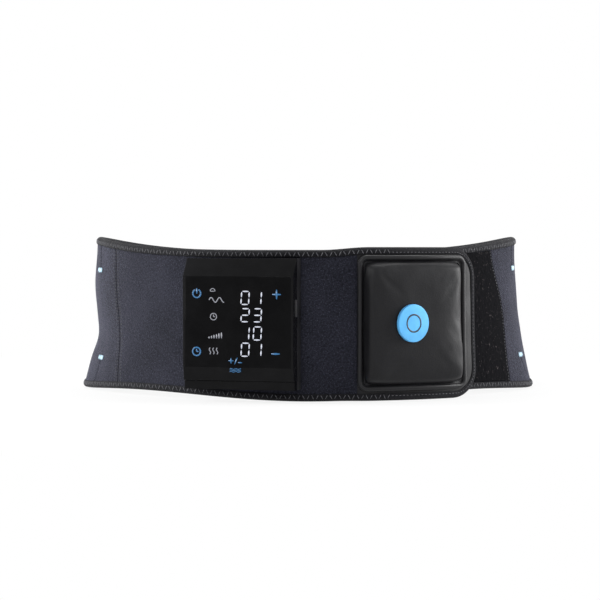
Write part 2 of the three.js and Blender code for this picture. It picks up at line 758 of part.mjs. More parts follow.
const partFront = lensBack - GAP;
add(unitFrame, "digit_display", "display", mounted(-1, 24, 24, 48, partFront - partBack));

// Touch springs stand between the board and the lens, one under each key.
const springPlaces = [
  ["mode", -30.5, 72.5],
  ["timer", -30.5, 25],
  ["plus", 26.5, 72.3],
  ["minus", 26.5, 25],
  ["heat", -4.5, 21.5],
];
const SPRING_RADIUS = 2.6;
for (const [key, u, v] of springPlaces) {
  const coil = rod(u, v, SPRING_RADIUS, partBack, partFront, 10);
  add(unitFrame, `touch_spring_${key}`, "copper", coil);
}

// The switch stands just clear of the pressed button's flange.
const SWITCH_SIDE = 3.5;
const SWITCH_LENGTH = 6;
const switchFront = wallFace - buttonInner - BUTTON_TRAVEL - GAP / 3;
const switchLow = BUTTON_V - SWITCH_LENGTH / 2;
const switchBody = mounted(
  switchFront - SWITCH_SIDE,
  switchLow,
  SWITCH_SIDE,
  SWITCH_LENGTH,
  SWITCH_SIDE,
);
add(unitFrame, "power_switch", "steel", switchBody);
add(unitFrame, "pulse_transformer", "copper", mounted(-26, 36, 12, 10, 4.5));
add(unitFrame, "controller_chip", "chip", mounted(-26, 52, 9, 9, 1.4));
add(unitFrame, "buzzer", "chip", rod(-19, 66, 4.5, partBack, partBack + 3, 20));

const portShell = box(
  -PORT_WIDTH / 2,
  portFront,
  PORT_WALL,
  PORT_WIDTH,
  PORT_HEIGHT,
  PORT_LENGTH + UNIT_WALL,
);
const portMouth = box(
  PORT_WALL - PORT_WIDTH / 2,
  portFront + PORT_WALL,
  -CUT,
  PORT_WIDTH - 2 * PORT_WALL,
  PORT_HEIGHT - 2 * PORT_WALL,
  PORT_LENGTH,
);
add(unitFrame, "charging_port", "steel", cut(portShell, portMouth));

// ---------------------------------------------------------------- clamp plate and screws

const plateTop = -LAYERS - GAP;
const plateSpan = degreesOf(UNIT_WIDTH / 2 - PLATE_MARGIN);
const plate = sheet({
  from: UNIT_ANGLE - plateSpan,
  to: UNIT_ANGLE + plateSpan,
  low: () => UNIT_BOTTOM + PLATE_MARGIN,
  high: () => UNIT_BOTTOM + UNIT_HEIGHT - PLATE_MARGIN,
  top: plateTop,
  thick: PLATE_THICK,
  facet: FINE_FACET,
});
add(belt, "clamp_plate", "plastic", cut(plate, ...screwHoles));

// A screw's flat head sits on the curved plate: lower by the strap's fall and the plate's slope.
const headSlope = (SCREW_HEAD * SCREW_U) / MEAN_RADIUS;
screwPlaces().forEach(([u, v], index) => {
  const fall = onLoop(UNIT_ANGLE + degreesOf(u), UNIT_BOTTOM + v, 0).applyMatrix4(toUnit).y;
  const headTop = plateTop - PLATE_THICK - GAP - fall - headSlope;
  const shank = rod(u, v, SCREW_RADIUS, headTop - GAP, SCREW_END_DEPTH, 12);
  const head = rod(u, v, SCREW_HEAD, headTop - SCREW_HEAD_THICK, headTop, 12);
  add(unitFrame, `clamp_screw_${index + 1}`, "steel", join(shank, head));
});
belt.add(unitFrame);

// ---------------------------------------------------------------- heater, pads and leads

const padMiddle = STRAP_HEIGHT / 2;
const filmTop = -SHELL - GAP;
const film = {
  from: 180 - FILM_SPAN,
  to: 180 + FILM_SPAN,
  low: () => padMiddle - FILM_HEIGHT / 2,
  high: () => padMiddle + FILM_HEIGHT / 2,
  top: filmTop,
  thick: FILM_THICK,
  rows: 2,
};
add(belt, "heating_film", "film", sheet(film));

for (let i = 0; i < PAD_COUNT; i++) {
  const middle = 180 + PAD_PITCH * (i - (PAD_COUNT - 1) / 2);
  const half = degreesOf(PAD_WIDTH / 2);
  const pad = {
    from: middle - half,
    to: middle + half,
    low: () => padMiddle - PAD_HEIGHT / 2,
    high: () => padMiddle + PAD_HEIGHT / 2,
    top: -LAYERS - GAP,
    thick: PAD_THICK,
    facet: FINE_FACET,
    rows: 2,
  };
  add(belt, `electrode_pad_${i + 1}`, "rubber", sheet(pad));
}

function lead(from, to, shift = flat) {
  return sheet({
    from,
    to,
    low: () => LEAD_HEIGHT - LEAD_WIDTH / 2,
    high: () => LEAD_HEIGHT + LEAD_WIDTH / 2,
    shift,
    top: filmTop,
    thick: FILM_THICK,
    rows: 1,
  });
}

const LEAD_PITCH = 1; // degrees between the two leads' ends behind the unit
const backLead = lead(FILM_SPAN - 180 + seam * 2, UNIT_ANGLE);
const hingeLead = lead(UNIT_ANGLE + LEAD_PITCH, HINGE - seam);
const pouchLead = lead(HINGE + seam, HINGE + degreesOf(POUCH_ALONG), flapShift);
add(belt, "heater_lead", "copper", backLead);
add(belt, "battery_lead_strap", "copper", hingeLead);
add(flapBody, "battery_lead_flap", "copper", pouchLead);

// ---------------------------------------------------------------- bar tacks

const tackPlaces = [
  ["left_upper_tack", -TACK_ANGLE, upper(TACK_ANGLE) - TACK_MARGIN, flat],
  ["left_lower_tack", -TACK_ANGLE, TACK_MARGIN, flat],
  ["right_upper_tack", TACK_ANGLE, upper(TACK_ANGLE) - TACK_MARGIN, tailShift],
  ["right_lower_tack", TACK_ANGLE, TACK_MARGIN, tailShift],
];
for (const [name, angle, middle, shift] of tackPlaces) {
  const half = degreesOf(TACK_LENGTH / 2);
  const bar = {
    from: angle - half,
    to: angle + half,
    low: () => middle - TACK_HEIGHT / 2,
    high: () => middle + TACK_HEIGHT / 2,
    shift,
    top: GAP + TAPE,
    thick: TAPE,
    facet: TACK_LENGTH / 4,
    rows: 1,
  };
  add(belt, name, "tack", sheet(bar));
}

// ---------------------------------------------------------------- stand it on its origin

const root = new THREE.Group();
root.add(belt, flapBody);
const extent = new THREE.Box3().setFromObject(root);
const centre = extent.getCenter(new THREE.Vector3());
root.position.set(-centre.x, -centre.y, -extent.min.z);

export default root;
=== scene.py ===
"""Looks of a heat and nerve-stimulation waist belt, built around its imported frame."""

import logging
import math
from dataclasses import dataclass, field
from enum import Enum
from typing import Callable, Iterable, Optional, Sequence

import bmesh
import bpy
from mathutils import Matrix, Vector, noise


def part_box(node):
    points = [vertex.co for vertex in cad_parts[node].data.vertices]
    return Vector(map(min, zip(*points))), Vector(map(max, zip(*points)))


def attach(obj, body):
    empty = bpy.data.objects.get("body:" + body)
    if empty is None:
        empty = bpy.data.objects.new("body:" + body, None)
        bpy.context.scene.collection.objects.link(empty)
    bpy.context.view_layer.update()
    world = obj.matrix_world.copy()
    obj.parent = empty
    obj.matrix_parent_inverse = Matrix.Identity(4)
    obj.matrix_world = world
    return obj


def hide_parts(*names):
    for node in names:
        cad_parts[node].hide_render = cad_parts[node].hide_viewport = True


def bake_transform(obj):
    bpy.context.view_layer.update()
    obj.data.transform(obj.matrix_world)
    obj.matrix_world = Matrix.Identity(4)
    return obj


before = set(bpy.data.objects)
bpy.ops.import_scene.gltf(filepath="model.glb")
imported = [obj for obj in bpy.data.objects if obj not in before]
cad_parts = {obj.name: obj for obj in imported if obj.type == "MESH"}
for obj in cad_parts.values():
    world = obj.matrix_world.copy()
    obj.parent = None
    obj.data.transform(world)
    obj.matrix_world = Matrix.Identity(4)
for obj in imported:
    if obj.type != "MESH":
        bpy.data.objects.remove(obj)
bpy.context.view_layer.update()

log = logging.getLogger("belt")
MM = 0.001
Place = Callable[[float, float], Vector]
Colour = tuple[float, float, float]


def smooth(low: float, high: float, x: float) -> float:
    """Eases from 0 at low to 1 at high."""
    share = min(1.0, max(0.0, (x - low) / (high - low)))
    return share * share * (3 - 2 * share)


def mix(a: float, b: float, share: float) -> float:
    """Value between a and b."""
    return a + (b - a) * share


# ---------------------------------------------------------------- the loop


@dataclass(frozen=True)
class BeltLoop:
    """The closed loop of the strap, on whose outer face every fabric piece is laid.

    Angles are in degrees from the front centre, positive towards the pouch.
    """

    half_width: float = 163.5 * MM
    half_depth: float = 160 * MM
    strap_height: float = 105.5 * MM
    side_rise: float = 10.5 * MM
    front_lift: float = 4.5 * MM
    side_flare: float = 11.5 * MM
    flare_height: float = 62 * MM
    right_lean: float = 3.2 * MM
    hinge: float = 8.0
    tail_end: float = 13.0
    flap_length: float = 107.5 * MM
    flap_height: float = 107.5 * MM
    flap_step: float = 3 * MM
    overlap: float = 7.4 * MM
    layers: float = 4.3 * MM
    centre: Vector = field(default_factory=lambda: BeltLoop.find_centre())

    @staticmethod
    def find_centre() -> Vector:
        """Centre of the loop in plan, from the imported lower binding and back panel."""
        low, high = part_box("lower_binding")
        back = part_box("back_panel")[1].y
        return Vector(((low.x + high.x) / 2, back - 160 * MM, 0))

    @property
    def radius(self) -> float:
        """Mean radius, which turns lengths into angles."""
        return (self.half_width + self.half_depth) / 2

    @property
    def flap_end(self) -> float:
        """Angle of the flap's free edge."""
        return self.hinge + self.degrees(self.flap_length)

    def degrees(self, length: float) -> float:
        """Angle that a length along the strap takes."""
        return math.degrees(length / self.radius)

    def point(self, angle: float, height: float, out: float) -> Vector:
        """Point at an angle and height, at a distance outside the strap's outer face."""
        turn = math.radians(angle)
        low = max(0.0, 1 - height / self.flare_height)
        flare = self.side_flare * low**1.6 * math.sin(turn) ** 4
        if 0 < angle < 180:
            flare -= self.right_lean * smooth(40 * MM, 108 * MM, height) * math.sin(turn) ** 6
        if angle < 0 or angle > 180:
            side = math.sin(turn) ** 6
            flare -= side * 2.6 * MM * math.exp(-(((height - 40 * MM) / (13 * MM)) ** 2))
        x = (self.half_width + flare + out) * math.sin(turn)
        y = -(self.half_depth + out) * math.cos(turn)
        return self.centre + Vector((x, y, height))

    def lower(self, angle: float) -> float:
        """Height of the strap's lower edge."""
        turned = (angle + 180) % 360 - 180
        if abs(turned) >= 90:
            return 0.0
        return self.front_lift * math.sin(2 * math.radians(turned)) ** 2

    def upper(self, angle: float) -> float:
        """Height of the strap's upper edge."""
        return self.strap_height + self.side_rise * math.sin(math.radians(angle)) ** 4

    def flap_shift(self, angle: float) -> float:
        """How far the flap's outer face stands off the loop."""
        return self.flap_step * smooth(self.hinge, self.flap_end, angle)

    def tail_shift(self, angle: float) -> float:
        """How far the tail under the flap dips inside the loop."""
        if angle > 180 or angle < 0:
            return 0.0
        return (self.flap_shift(angle) - self.overlap) * (1 - smooth(47, 76, angle))

    def front_lower(self, angle: float) -> float:
        """Lower edge of the front strap, easing into the flap's."""
        return mix(self.lower(angle), 0.0, smooth(3, 15, angle))

    def front_upper(self, angle: float) -> float:
        """Upper edge of the front strap, easing into the flap's."""
        return mix(self.upper(angle), self.flap_height, smooth(3, 15, angle))


# ---------------------------------------------------------------- mesh helpers


class Shape:
    """A bmesh under work, which becomes one finished piece."""

    def __init__(self, name: str) -> None:
        """Starts an empty shape."""
        self.name = name
        self.bm = bmesh.new()
        self.loose = bmesh.new()

    def gather(self) -> None:
        """Moves the loose balls made so far into the shape, which keeps long rows fast."""
        packet = bpy.data.meshes.new("packet")
        self.loose.to_mesh(packet)
        self.loose.clear()
        self.bm.from_mesh(packet)
        bpy.data.meshes.remove(packet)

    def grid(self, columns: int, rows: int, place: Place, metric: Optional[Place] = None) -> "Shape":
        """Adds a grid laid out by place.

        Args:
            columns: faces along the first share.
            rows: faces along the second share.
            place: where the point with shares 0 to 1 goes.
            metric: cloth coordinates of that point, in metres, kept as its UV.

        Returns:
            The shape itself.
        """
        layer = self.bm.loops.layers.uv.get("UVMap") or self.bm.loops.layers.uv.new("UVMap")
        made = bmesh.ops.create_grid(
            self.bm, x_segments=columns, y_segments=rows, size=0.5, calc_uvs=False
        )
        shares = {v: (v.co.x + 0.5, v.co.y + 0.5) for v in made["verts"]}
        faces = {f for v in made["verts"] for f in v.link_faces}
        for face in faces:
            for loop in face.loops:
                at = shares[loop.vert]
                loop[layer].uv = metric(*at).xy if metric else at
        for vert, at in shares.items():
            vert.co = place(*at)
        return self

    def ball(self, place: Matrix, around: int = 6, along: int = 4) -> "Shape":
        """Adds a low ball squeezed and set by a matrix, such as one stitch."""
        bmesh.ops.create_uvsphere(
            self.loose, u_segments=around, v_segments=along, radius=1, matrix=place
        )
        if len(self.loose.verts) > 1500:
            self.gather()
        return self

    def block(self, centre: Vector, size: Sequence[float], bevel: float, steps: int = 3) -> "Shape":
        """Adds a box with rounded edges."""
        placed = Matrix.Translation(centre) @ Matrix.Diagonal((*size, 1))
        made = bmesh.ops.create_cube(self.bm, size=1, matrix=placed)
        edges = list({e for v in made["verts"] for e in v.link_edges})
        self.round(edges, bevel, steps)
        return self

    def disc(self, centre: Vector, radius: float, thick: float, bevel: float, sides: int = 96) -> "Shape":
        """Adds a round plate along -Y with rounded rims."""
        turned = Matrix.Translation(centre) @ Matrix.Rotation(math.pi / 2, 4, "X")
        made = bmesh.ops.create_cone(
            self.bm,
            cap_ends=True,
            segments=sides,
            radius1=radius,
            radius2=radius,
            depth=thick,
            matrix=turned,
        )
        rims = [e for e in {e for v in made["verts"] for e in v.link_edges} if e.calc_face_angle(0) > 1]
        self.round(rims, bevel, 4)
        return self

    def round(self, edges: Iterable[bmesh.types.BMEdge], width: float, steps: int = 3) -> "Shape":
        """Rounds edges."""
        bmesh.ops.bevel(
            self.bm,
            geom=list(edges),
            offset=width,
            offset_type="OFFSET",
            affect="EDGES",
            segments=steps,
            profile=0.5,
            material=-1,
            clamp_overlap=True,
        )
        return self

    def move(self, place: Callable[[Vector], Vector]) -> "Shape":
        """Moves every corner."""
        for vert in self.bm.verts:
            vert.co = place(vert.co)
        return self

    def turn(self, matrix: Matrix) -> "Shape":
        """Places the whole shape by a matrix."""
        bmesh.ops.transform(self.bm, matrix=matrix, verts=self.bm.verts)
        return self

    def weld(self) -> "Shape":
        """Merges doubles and turns every face outwards."""
        bmesh.ops.remove_doubles(self.bm, verts=self.bm.verts, dist=0.005 * MM)
        bmesh.ops.recalc_face_normals(self.bm, faces=self.bm.faces)
        return self

    def finish(self, material: bpy.types.Material, flat: bool = False) -> bpy.types.Object:
        """Turns the shape into an object with its material."""
        self.gather()
        mesh = bpy.data.meshes.new(self.name)
        self.bm.to_mesh(mesh)
        self.bm.free()
        self.loose.free()
        for polygon in mesh.polygons:
            polygon.use_smooth = not flat
        mesh.materials.append(material)
        piece = bpy.data.objects.new(self.name, mesh)
        bpy.context.scene.collection.objects.link(piece)
        log.info("%s: %d faces", self.name, len(mesh.polygons))
        return piece


def thicken(piece: bpy.types.Object, thickness: float) -> bpy.types.Object:
    """Gives a sheet its thickness, inwards from the modelled face."""
    wall = piece.modifiers.new("thickness", "SOLIDIFY")
    wall.thickness = thickness
    wall.offset = -1
    return piece


def sharpen(piece: bpy.types.Object, angle: float = 35) -> bpy.types.Object:
    """Keeps edges over an angle crisp under smooth shading."""
    mesh = piece.data
    bm = bmesh.new()
    bm.from_mesh(mesh)
    for edge in bm.edges:
        edge.smooth = edge.calc_face_angle(0) < math.radians(angle)
    bm.to_mesh(mesh)
    bm.free()
    return piece


def stitch(shape: Shape, start: Vector, end: Vector, width: float) -> None:
    """Adds one raised thread between two points."""
    along = end - start
    turned = along.to_track_quat("Z", "Y").to_matrix().to_4x4()
    scale = Matrix.Diagonal((width / 2, width / 2, along.length / 2, 1))
    shape.ball(Matrix.Translation((start + end) / 2) @ turned @ scale)


# ---------------------------------------------------------------- materials


class Graph:
    """Short hand for a material's node tree."""

    def __init__(self, name: str) -> None:
        """Starts a material with an empty Principled shader."""
        self.material = bpy.data.materials.new(f"{name}_look")
        self.material.use_nodes = True
        self.tree = self.material.node_tree
        self.shader = self.tree.nodes["Principled BSDF"]

    def node(self, kind: str, inputs: Optional[dict] = None, **settings: object) -> bpy.types.Node:
        """Adds a node.

        Args:
            kind: the node type without its ShaderNode prefix.
            inputs: socket names with a value, or an output socket to link.
            settings: properties of the node.

        Returns:
            The node.
        """
        made = self.tree.nodes.new(f"ShaderNode{kind}")
        for key, value in settings.items():
            setattr(made, key, value)
        for key, value in (inputs or {}).items():
            self.plug(made.inputs[key], value)
        return made

    def plug(self, socket: bpy.types.NodeSocket, value: object) -> None:
        """Links an output to a socket, or sets its value."""
        if isinstance(value, bpy.types.NodeSocket):
            self.tree.links.new(value, socket)
        else:
            socket.default_value = value

    def set(self, **values: object) -> "Graph":
        """Sets sockets of the shader; an underscore stands for a space."""
        for key, value in values.items():
            name = key.replace("_", " ")
            if isinstance(value, tuple) and len(value) == 3:
                value = (*value, 1.0)
            self.plug(self.shader.inputs[name], value)
        return self

    def cloth(self, scale: Sequence[float] = (1, 1, 1)) -> bpy.types.NodeSocket:
        """Cloth coordinates in metres, times a scale."""
        uv = self.node("UVMap", uv_map="UVMap").outputs[0]
        return self.node("Mapping", {"Vector": uv, "Scale": tuple(scale)}).outputs[0]

    def place(self) -> bpy.types.NodeSocket:
        """Object coordinates in metres."""
        return self.node("TexCoord").outputs["Object"]

    def noise(self, vector: bpy.types.NodeSocket, scale: float, detail: float = 2, rough: float = 0.5) -> bpy.types.NodeSocket:
        """Cloudy value from 0 to 1."""
        inputs = {"Vector": vector, "Scale": scale, "Detail": detail, "Roughness": rough}
        return self.node("TexNoise", inputs).outputs[0]

    def cells(self, vector: bpy.types.NodeSocket, scale: float, feature: str = "F1") -> bpy.types.NodeSocket:
        """Distance pattern of small cells."""
        inputs = {"Vector": vector, "Scale": scale}
        return self.node("TexVoronoi", inputs, feature=feature).outputs["Distance"]

    def wave(self, vector: bpy.types.NodeSocket, scale: float, direction: str, distortion: float = 0) -> bpy.types.NodeSocket:
        """Parallel ribs."""
        inputs = {"Vector": vector, "Scale": scale, "Distortion": distortion, "Detail": 1}
        return self.node("TexWave", inputs, bands_direction=direction).outputs[1]

    def math(self, kind: str, a: object, b: object = 0.0) -> bpy.types.NodeSocket:
        """Arithmetic on two values."""
        made = self.node("Math", operation=kind)
        self.plug(made.inputs[0], a)
        self.plug(made.inputs[1], b)
        return made.outputs[0]

    def ramp(self, value: bpy.types.NodeSocket, low: float, high: float, a: float = 0, b: float = 1) -> bpy.types.NodeSocket:
        """Maps a value's range low to high onto a to b."""
        inputs = {"Value": value, "From Min": low, "From Max": high, "To Min": a, "To Max": b}
        return self.node("MapRange", inputs).outputs[0]

    def blend(self, factor: object, a: Colour, b: object) -> bpy.types.NodeSocket:
        """Mixes two colours."""
        made = self.node("Mix", data_type="RGBA")
        self.plug(made.inputs[0], factor)
        self.plug(made.inputs[6], (*a, 1.0) if isinstance(a, tuple) else a)
        self.plug(made.inputs[7], (*b, 1.0) if isinstance(b, tuple) else b)
        return made.outputs[2]

    def bump(self, height: bpy.types.NodeSocket, depth: float, strength: float = 1, under: object = None) -> bpy.types.NodeSocket:
        """Surface relief of a depth in metres."""
        inputs = {"Height": height, "Distance": depth, "Strength": strength}
        if under is not None:
            inputs["Normal"] = under
        return self.node("Bump", inputs).outputs[0]


@dataclass(frozen=True)
class KnitFinish:
    """A knitted cloth face over foam rubber: fine mottled loops with a soft grazing sheen."""

    name: str
    dark: Colour
    light: Colour
    roughness: float = 0.85
    sheen: float = 0.42
    sheen_tint: Colour = (0.62, 0.63, 0.8)
    loop_size: float = 0.75 * MM
    relief: float = 0.3 * MM

    def build(self) -> bpy.types.Material:
        """Makes the material."""
        g = Graph(self.name)
        cloth = g.cloth()
        loops = g.cells(cloth, 1 / self.loop_size)
        fibres = g.noise(cloth, 0.6 / self.loop_size, 3, 0.65)
        patches = g.noise(cloth, 22, 3, 0.55)
        speck = g.ramp(g.noise(cloth, 1.1 / self.loop_size, 1), 0.58, 0.7)
        tone = g.math("ADD", g.math("MULTIPLY", fibres, 0.75), g.math("MULTIPLY", patches, 0.4))
        colour = g.blend(g.ramp(tone, 0.38, 0.78), self.dark, self.light)
        bright = tuple(min(1.0, 2.3 * c + 0.02) for c in self.light)
        colour = g.blend(g.math("MULTIPLY", speck, 0.42), colour, bright)
        g.set(Base_Color=colour, Roughness=self.roughness, Sheen_Weight=self.sheen)
        g.set(Sheen_Roughness=0.24, Sheen_Tint=self.sheen_tint, Specular_IOR_Level=0.12)
        relief = g.math("ADD", g.ramp(loops, 0, 0.6, 1, 0), g.math("MULTIPLY", fibres, 0.8))
        g.set(Normal=g.bump(relief, self.relief))
        return g.material


@dataclass(frozen=True)
class TapeFinish:
    """Woven edge tape with cross ribs."""

    name: str
    colour: Colour
    light: Colour
    rib: float = 0.8 * MM

    def build(self) -> bpy.types.Material:
        """Makes the material."""
        g = Graph(self.name)
        cloth = g.cloth()
        ribs = g.wave(cloth, 1 / (self.rib * 2 * math.pi) * math.pi, "X", 0.3)
        weave = g.wave(cloth, 1 / (0.5 * self.rib * 2 * math.pi) * math.pi, "Y", 0.2)
        dust = g.noise(cloth, 900, 3, 0.6)
        tone = g.math("ADD", g.math("MULTIPLY", ribs, 0.5), g.math("MULTIPLY", dust, 0.5))
        g.set(Base_Color=g.blend(g.ramp(tone, 0.3, 0.85), self.colour, self.light))
        g.set(Roughness=0.65, Sheen_Weight=0.05, Sheen_Roughness=0.3, Specular_IOR_Level=0.1)
        relief = g.math("ADD", ribs, g.math("MULTIPLY", weave, 0.45))
        g.set(Normal=g.bump(relief, 0.16 * MM))
        return g.material


@dataclass(frozen=True)
class PileFinish:
    """Brushed loop pile: black, fuzzy and speckled."""

    name: str
    colour: Colour = (0.006, 0.006, 0.007)
    tips: Colour = (0.24, 0.21, 0.21)

    def build(self) -> bpy.types.Material:
        """Makes the material."""
        g = Graph(self.name)
        cloth = g.cloth((1, 0.55, 1))
        fuzz = g.noise(cloth, 620, 3, 0.75)
        tufts = g.noise(cloth, 260, 2, 0.6)
        tone = g.math("MULTIPLY", g.ramp(fuzz, 0.6, 0.74), g.ramp(tufts, 0.4, 0.7))
        g.set(Base_Color=g.blend(tone, self.colour, self.tips), Roughness=1.0)
        g.set(Specular_IOR_Level=0.03)
        relief = g.math("ADD", fuzz, g.math("MULTIPLY", tufts, 1.5))
        g.set(Normal=g.bump(relief, 0.5 * MM))
        return g.material


@dataclass(frozen=True)
class LeatherFinish:
    """Soft coated leather: fine pebbles, broad creases and a satin coat."""

    name: str
    colour: Colour = (0.0055, 0.0055, 0.0065)
    roughness: float = 0.43
    gloss: float = 0.2
    pebble: float = 0.9 * MM

    def build(self) -> bpy.types.Material:
        """Makes the material."""
        g = Graph(self.name)
        place = g.place()
        pebbles = g.cells(place, 1 / self.pebble, "SMOOTH_F1")
        pores = g.noise(place, 2600, 2, 0.5)
        folds = g.noise(place, 60, 3, 0.5)
        wear = g.ramp(folds, 0.35, 0.7, self.roughness - 0.05, self.roughness + 0.09)
        light = tuple(2.1 * c for c in self.colour)
        g.set(Base_Color=g.blend(g.ramp(pores, 0.4, 0.7), self.colour, light))
        g.set(Roughness=wear, Specular_IOR_Level=self.gloss)
        fine = g.bump(g.math("ADD", pebbles, g.math("MULTIPLY", pores, 0.3)), 0.05 * MM)
        g.set(Normal=g.bump(folds, 0.5 * MM, 0.5, fine))
        return g.material


@dataclass(frozen=True)
class PlasticFinish:
    """Moulded plastic, from mirror gloss to fine texture."""

    name: str
    colour: Colour
    roughness: float
    grain: float = 0.0
    gloss: float = 0.5

    def build(self) -> bpy.types.Material:
        """Makes the material."""
        g = Graph(self.name)
        place = g.place()
        smear = g.noise(place, 45, 4, 0.6)
        light = tuple(1.5 * c + 0.002 for c in self.colour)
        g.set(Base_Color=g.blend(g.ramp(smear, 0.4, 0.75), self.colour, light))
        spread = 0.03 + 0.12 * self.roughness
        low = max(0.02, self.roughness - spread)
        g.set(Roughness=g.ramp(smear, 0.3, 0.75, low, self.roughness + spread))
        g.set(Specular_IOR_Level=self.gloss)
        if self.grain:
            texture = g.noise(place, 1 / self.grain, 2, 0.6)
            g.set(Normal=g.bump(texture, 0.12 * self.grain))
        return g.material


@dataclass(frozen=True)
class GlowFinish:
    """A lit mark under the lens."""

    name: str
    colour: Colour
    strength: float

    def build(self) -> bpy.types.Material:
        """Makes the material."""
        g = Graph(self.name)
        spots = g.noise(g.place(), 700, 2, 0.5)
        edge = tuple(0.75 * c for c in self.colour)
        tint = g.blend(g.ramp(spots, 0.3, 0.7), edge, self.colour)
        g.set(Base_Color=(0.02, 0.02, 0.02), Emission_Color=tint, Emission_Strength=self.strength)
        g.set(Roughness=0.3)
        return g.material


@dataclass(frozen=True)
class ThreadFinish:
    """Twisted sewing thread."""

    name: str
    colour: Colour
    roughness: float = 0.55

    def build(self) -> bpy.types.Material:
        """Makes the material."""
        g = Graph(self.name)
        twist = g.wave(g.place(), 900, "DIAGONAL", 0.5)
        dark = tuple(0.55 * c for c in self.colour)
        g.set(Base_Color=g.blend(g.ramp(twist, 0.1, 0.8), dark, self.colour))
        g.set(Roughness=self.roughness, Sheen_Weight=0.2, Normal=g.bump(twist, 0.06 * MM))
        return g.material


@dataclass(frozen=True)
class MetalFinish:
    """Plain or plated metal with fine scratches."""

    name: str
    colour: Colour
    roughness: float = 0.3

    def build(self) -> bpy.types.Material:
        """Makes the material."""
        g = Graph(self.name)
        marks = g.noise(g.place(), 1500, 3, 0.6)
        g.set(Base_Color=self.colour, Metallic=1.0)
        g.set(Roughness=g.ramp(marks, 0.3, 0.7, self.roughness - 0.08, self.roughness + 0.12))
        g.set(Normal=g.bump(marks, 0.02 * MM))
        return g.material


class Finish(Enum):
    """Every finish on the belt."""

    NEOPRENE = KnitFinish("neoprene_knit", (0.0045, 0.005, 0.008), (0.03, 0.031, 0.046), loop_size=0.95 * MM)
    LINING = KnitFinish("lining_knit", (0.014, 0.014, 0.02), (0.03, 0.03, 0.04), loop_size=0.5 * MM)
    TAPE = TapeFinish("ribbed_tape", (0.0035, 0.0035, 0.0045), (0.02, 0.02, 0.025))
    PILE = PileFinish("loop_pile")
    HOOKS = PileFinish("hook_weave", (0.012, 0.012, 0.013), (0.1, 0.1, 0.1))
    LEATHER = LeatherFinish("coated_leather")
    PIPING = LeatherFinish("piping_leather", (0.006, 0.006, 0.007), 0.38, 0.25, 0.6 * MM)
    GLOSS = PlasticFinish("piano_black", (0.003, 0.003, 0.0035), 0.12, gloss=0.1)
    LENS = PlasticFinish("smoked_lens", (0.002, 0.002, 0.0024), 0.08, gloss=0.06)
    SHELL = PlasticFinish("textured_black", (0.007, 0.007, 0.008), 0.42, 0.5 * MM, 0.3)
    BADGE = PlasticFinish("badge_blue", (0.1, 0.4, 0.76), 0.5, 0.4 * MM, 0.3)
    BADGE_RING = PlasticFinish("badge_ring", (0.016, 0.03, 0.05), 0.4, 0.3 * MM)
    ELECTRODE = PlasticFinish("conductive_rubber", (0.02, 0.02, 0.022), 0.62, 0.8 * MM)
    BOARD = PlasticFinish("solder_mask", (0.01, 0.07, 0.03), 0.35, 0.6 * MM)
    CHIP = PlasticFinish("chip_black", (0.012, 0.012, 0.013), 0.5, 0.3 * MM)
    FILM = PlasticFinish("heater_film", (0.35, 0.14, 0.03), 0.3, 1.5 * MM)
    DISPLAY = PlasticFinish("display_block", (0.55, 0.58, 0.6), 0.4, 0.5 * MM)
    DIGIT = GlowFinish("lit_digits", (0.82, 0.86, 1.0), 0.85)
    ICON = GlowFinish("lit_icons", (0.6, 0.62, 0.72), 0.5)
    KEY = GlowFinish("lit_keys", (0.012, 0.2, 0.5), 0.75)
    THREAD = ThreadFinish("dark_thread", (0.1, 0.1, 0.115))
    PALE_THREAD = ThreadFinish("pale_thread", (0.3, 0.3, 0.34))
    TACK = ThreadFinish("tack_thread", (0.56, 0.8, 0.95))
    STEEL = MetalFinish("steel", (0.6, 0.61, 0.63))
    COPPER = MetalFinish("copper", (0.75, 0.45, 0.28), 0.35)
    FOIL = MetalFinish("cell_foil", (0.62, 0.64, 0.67), 0.38)

    def material(self) -> bpy.types.Material:
        """The finish's material, made at its first use."""
        return bpy.data.materials.get(f"{self.value.name}_look") or self.value.build()


# ---------------------------------------------------------------- the strap


@dataclass(frozen=True)
class Seam:
    """A sewn groove across the strap: angle as a function of height, between two heights."""

    angle: Callable[[float], float]
    low: float
    high: float
    depth: float = 0.7 * MM
    width: float = 1.1 * MM

    def groove(self, loop: BeltLoop, angle: float, height: float) -> float:
        """How deep the groove is at a point of the strap."""
        across = math.radians(angle - self.angle(height)) * loop.radius
        if abs(across) > 4 * self.width:
            return 0.0
        ends = smooth(self.low - 2 * MM, self.low + 2 * MM, height)
        ends *= 1 - smooth(self.high - 2 * MM, self.high + 2 * MM, height)
        return self.depth * ends * math.exp(-((across / self.width) ** 2))


def left_seam(height: float) -> float:
    """Angle of the seam between front strap and left side."""
    return -60.3 + 4.0 * (1 - height / (105 * MM))


def right_seam(height: float) -> float:
    """Angle of the curved seam where the loop patch ends."""
    return 63 - 6.5 * smooth(52 * MM, 112 * MM, height)


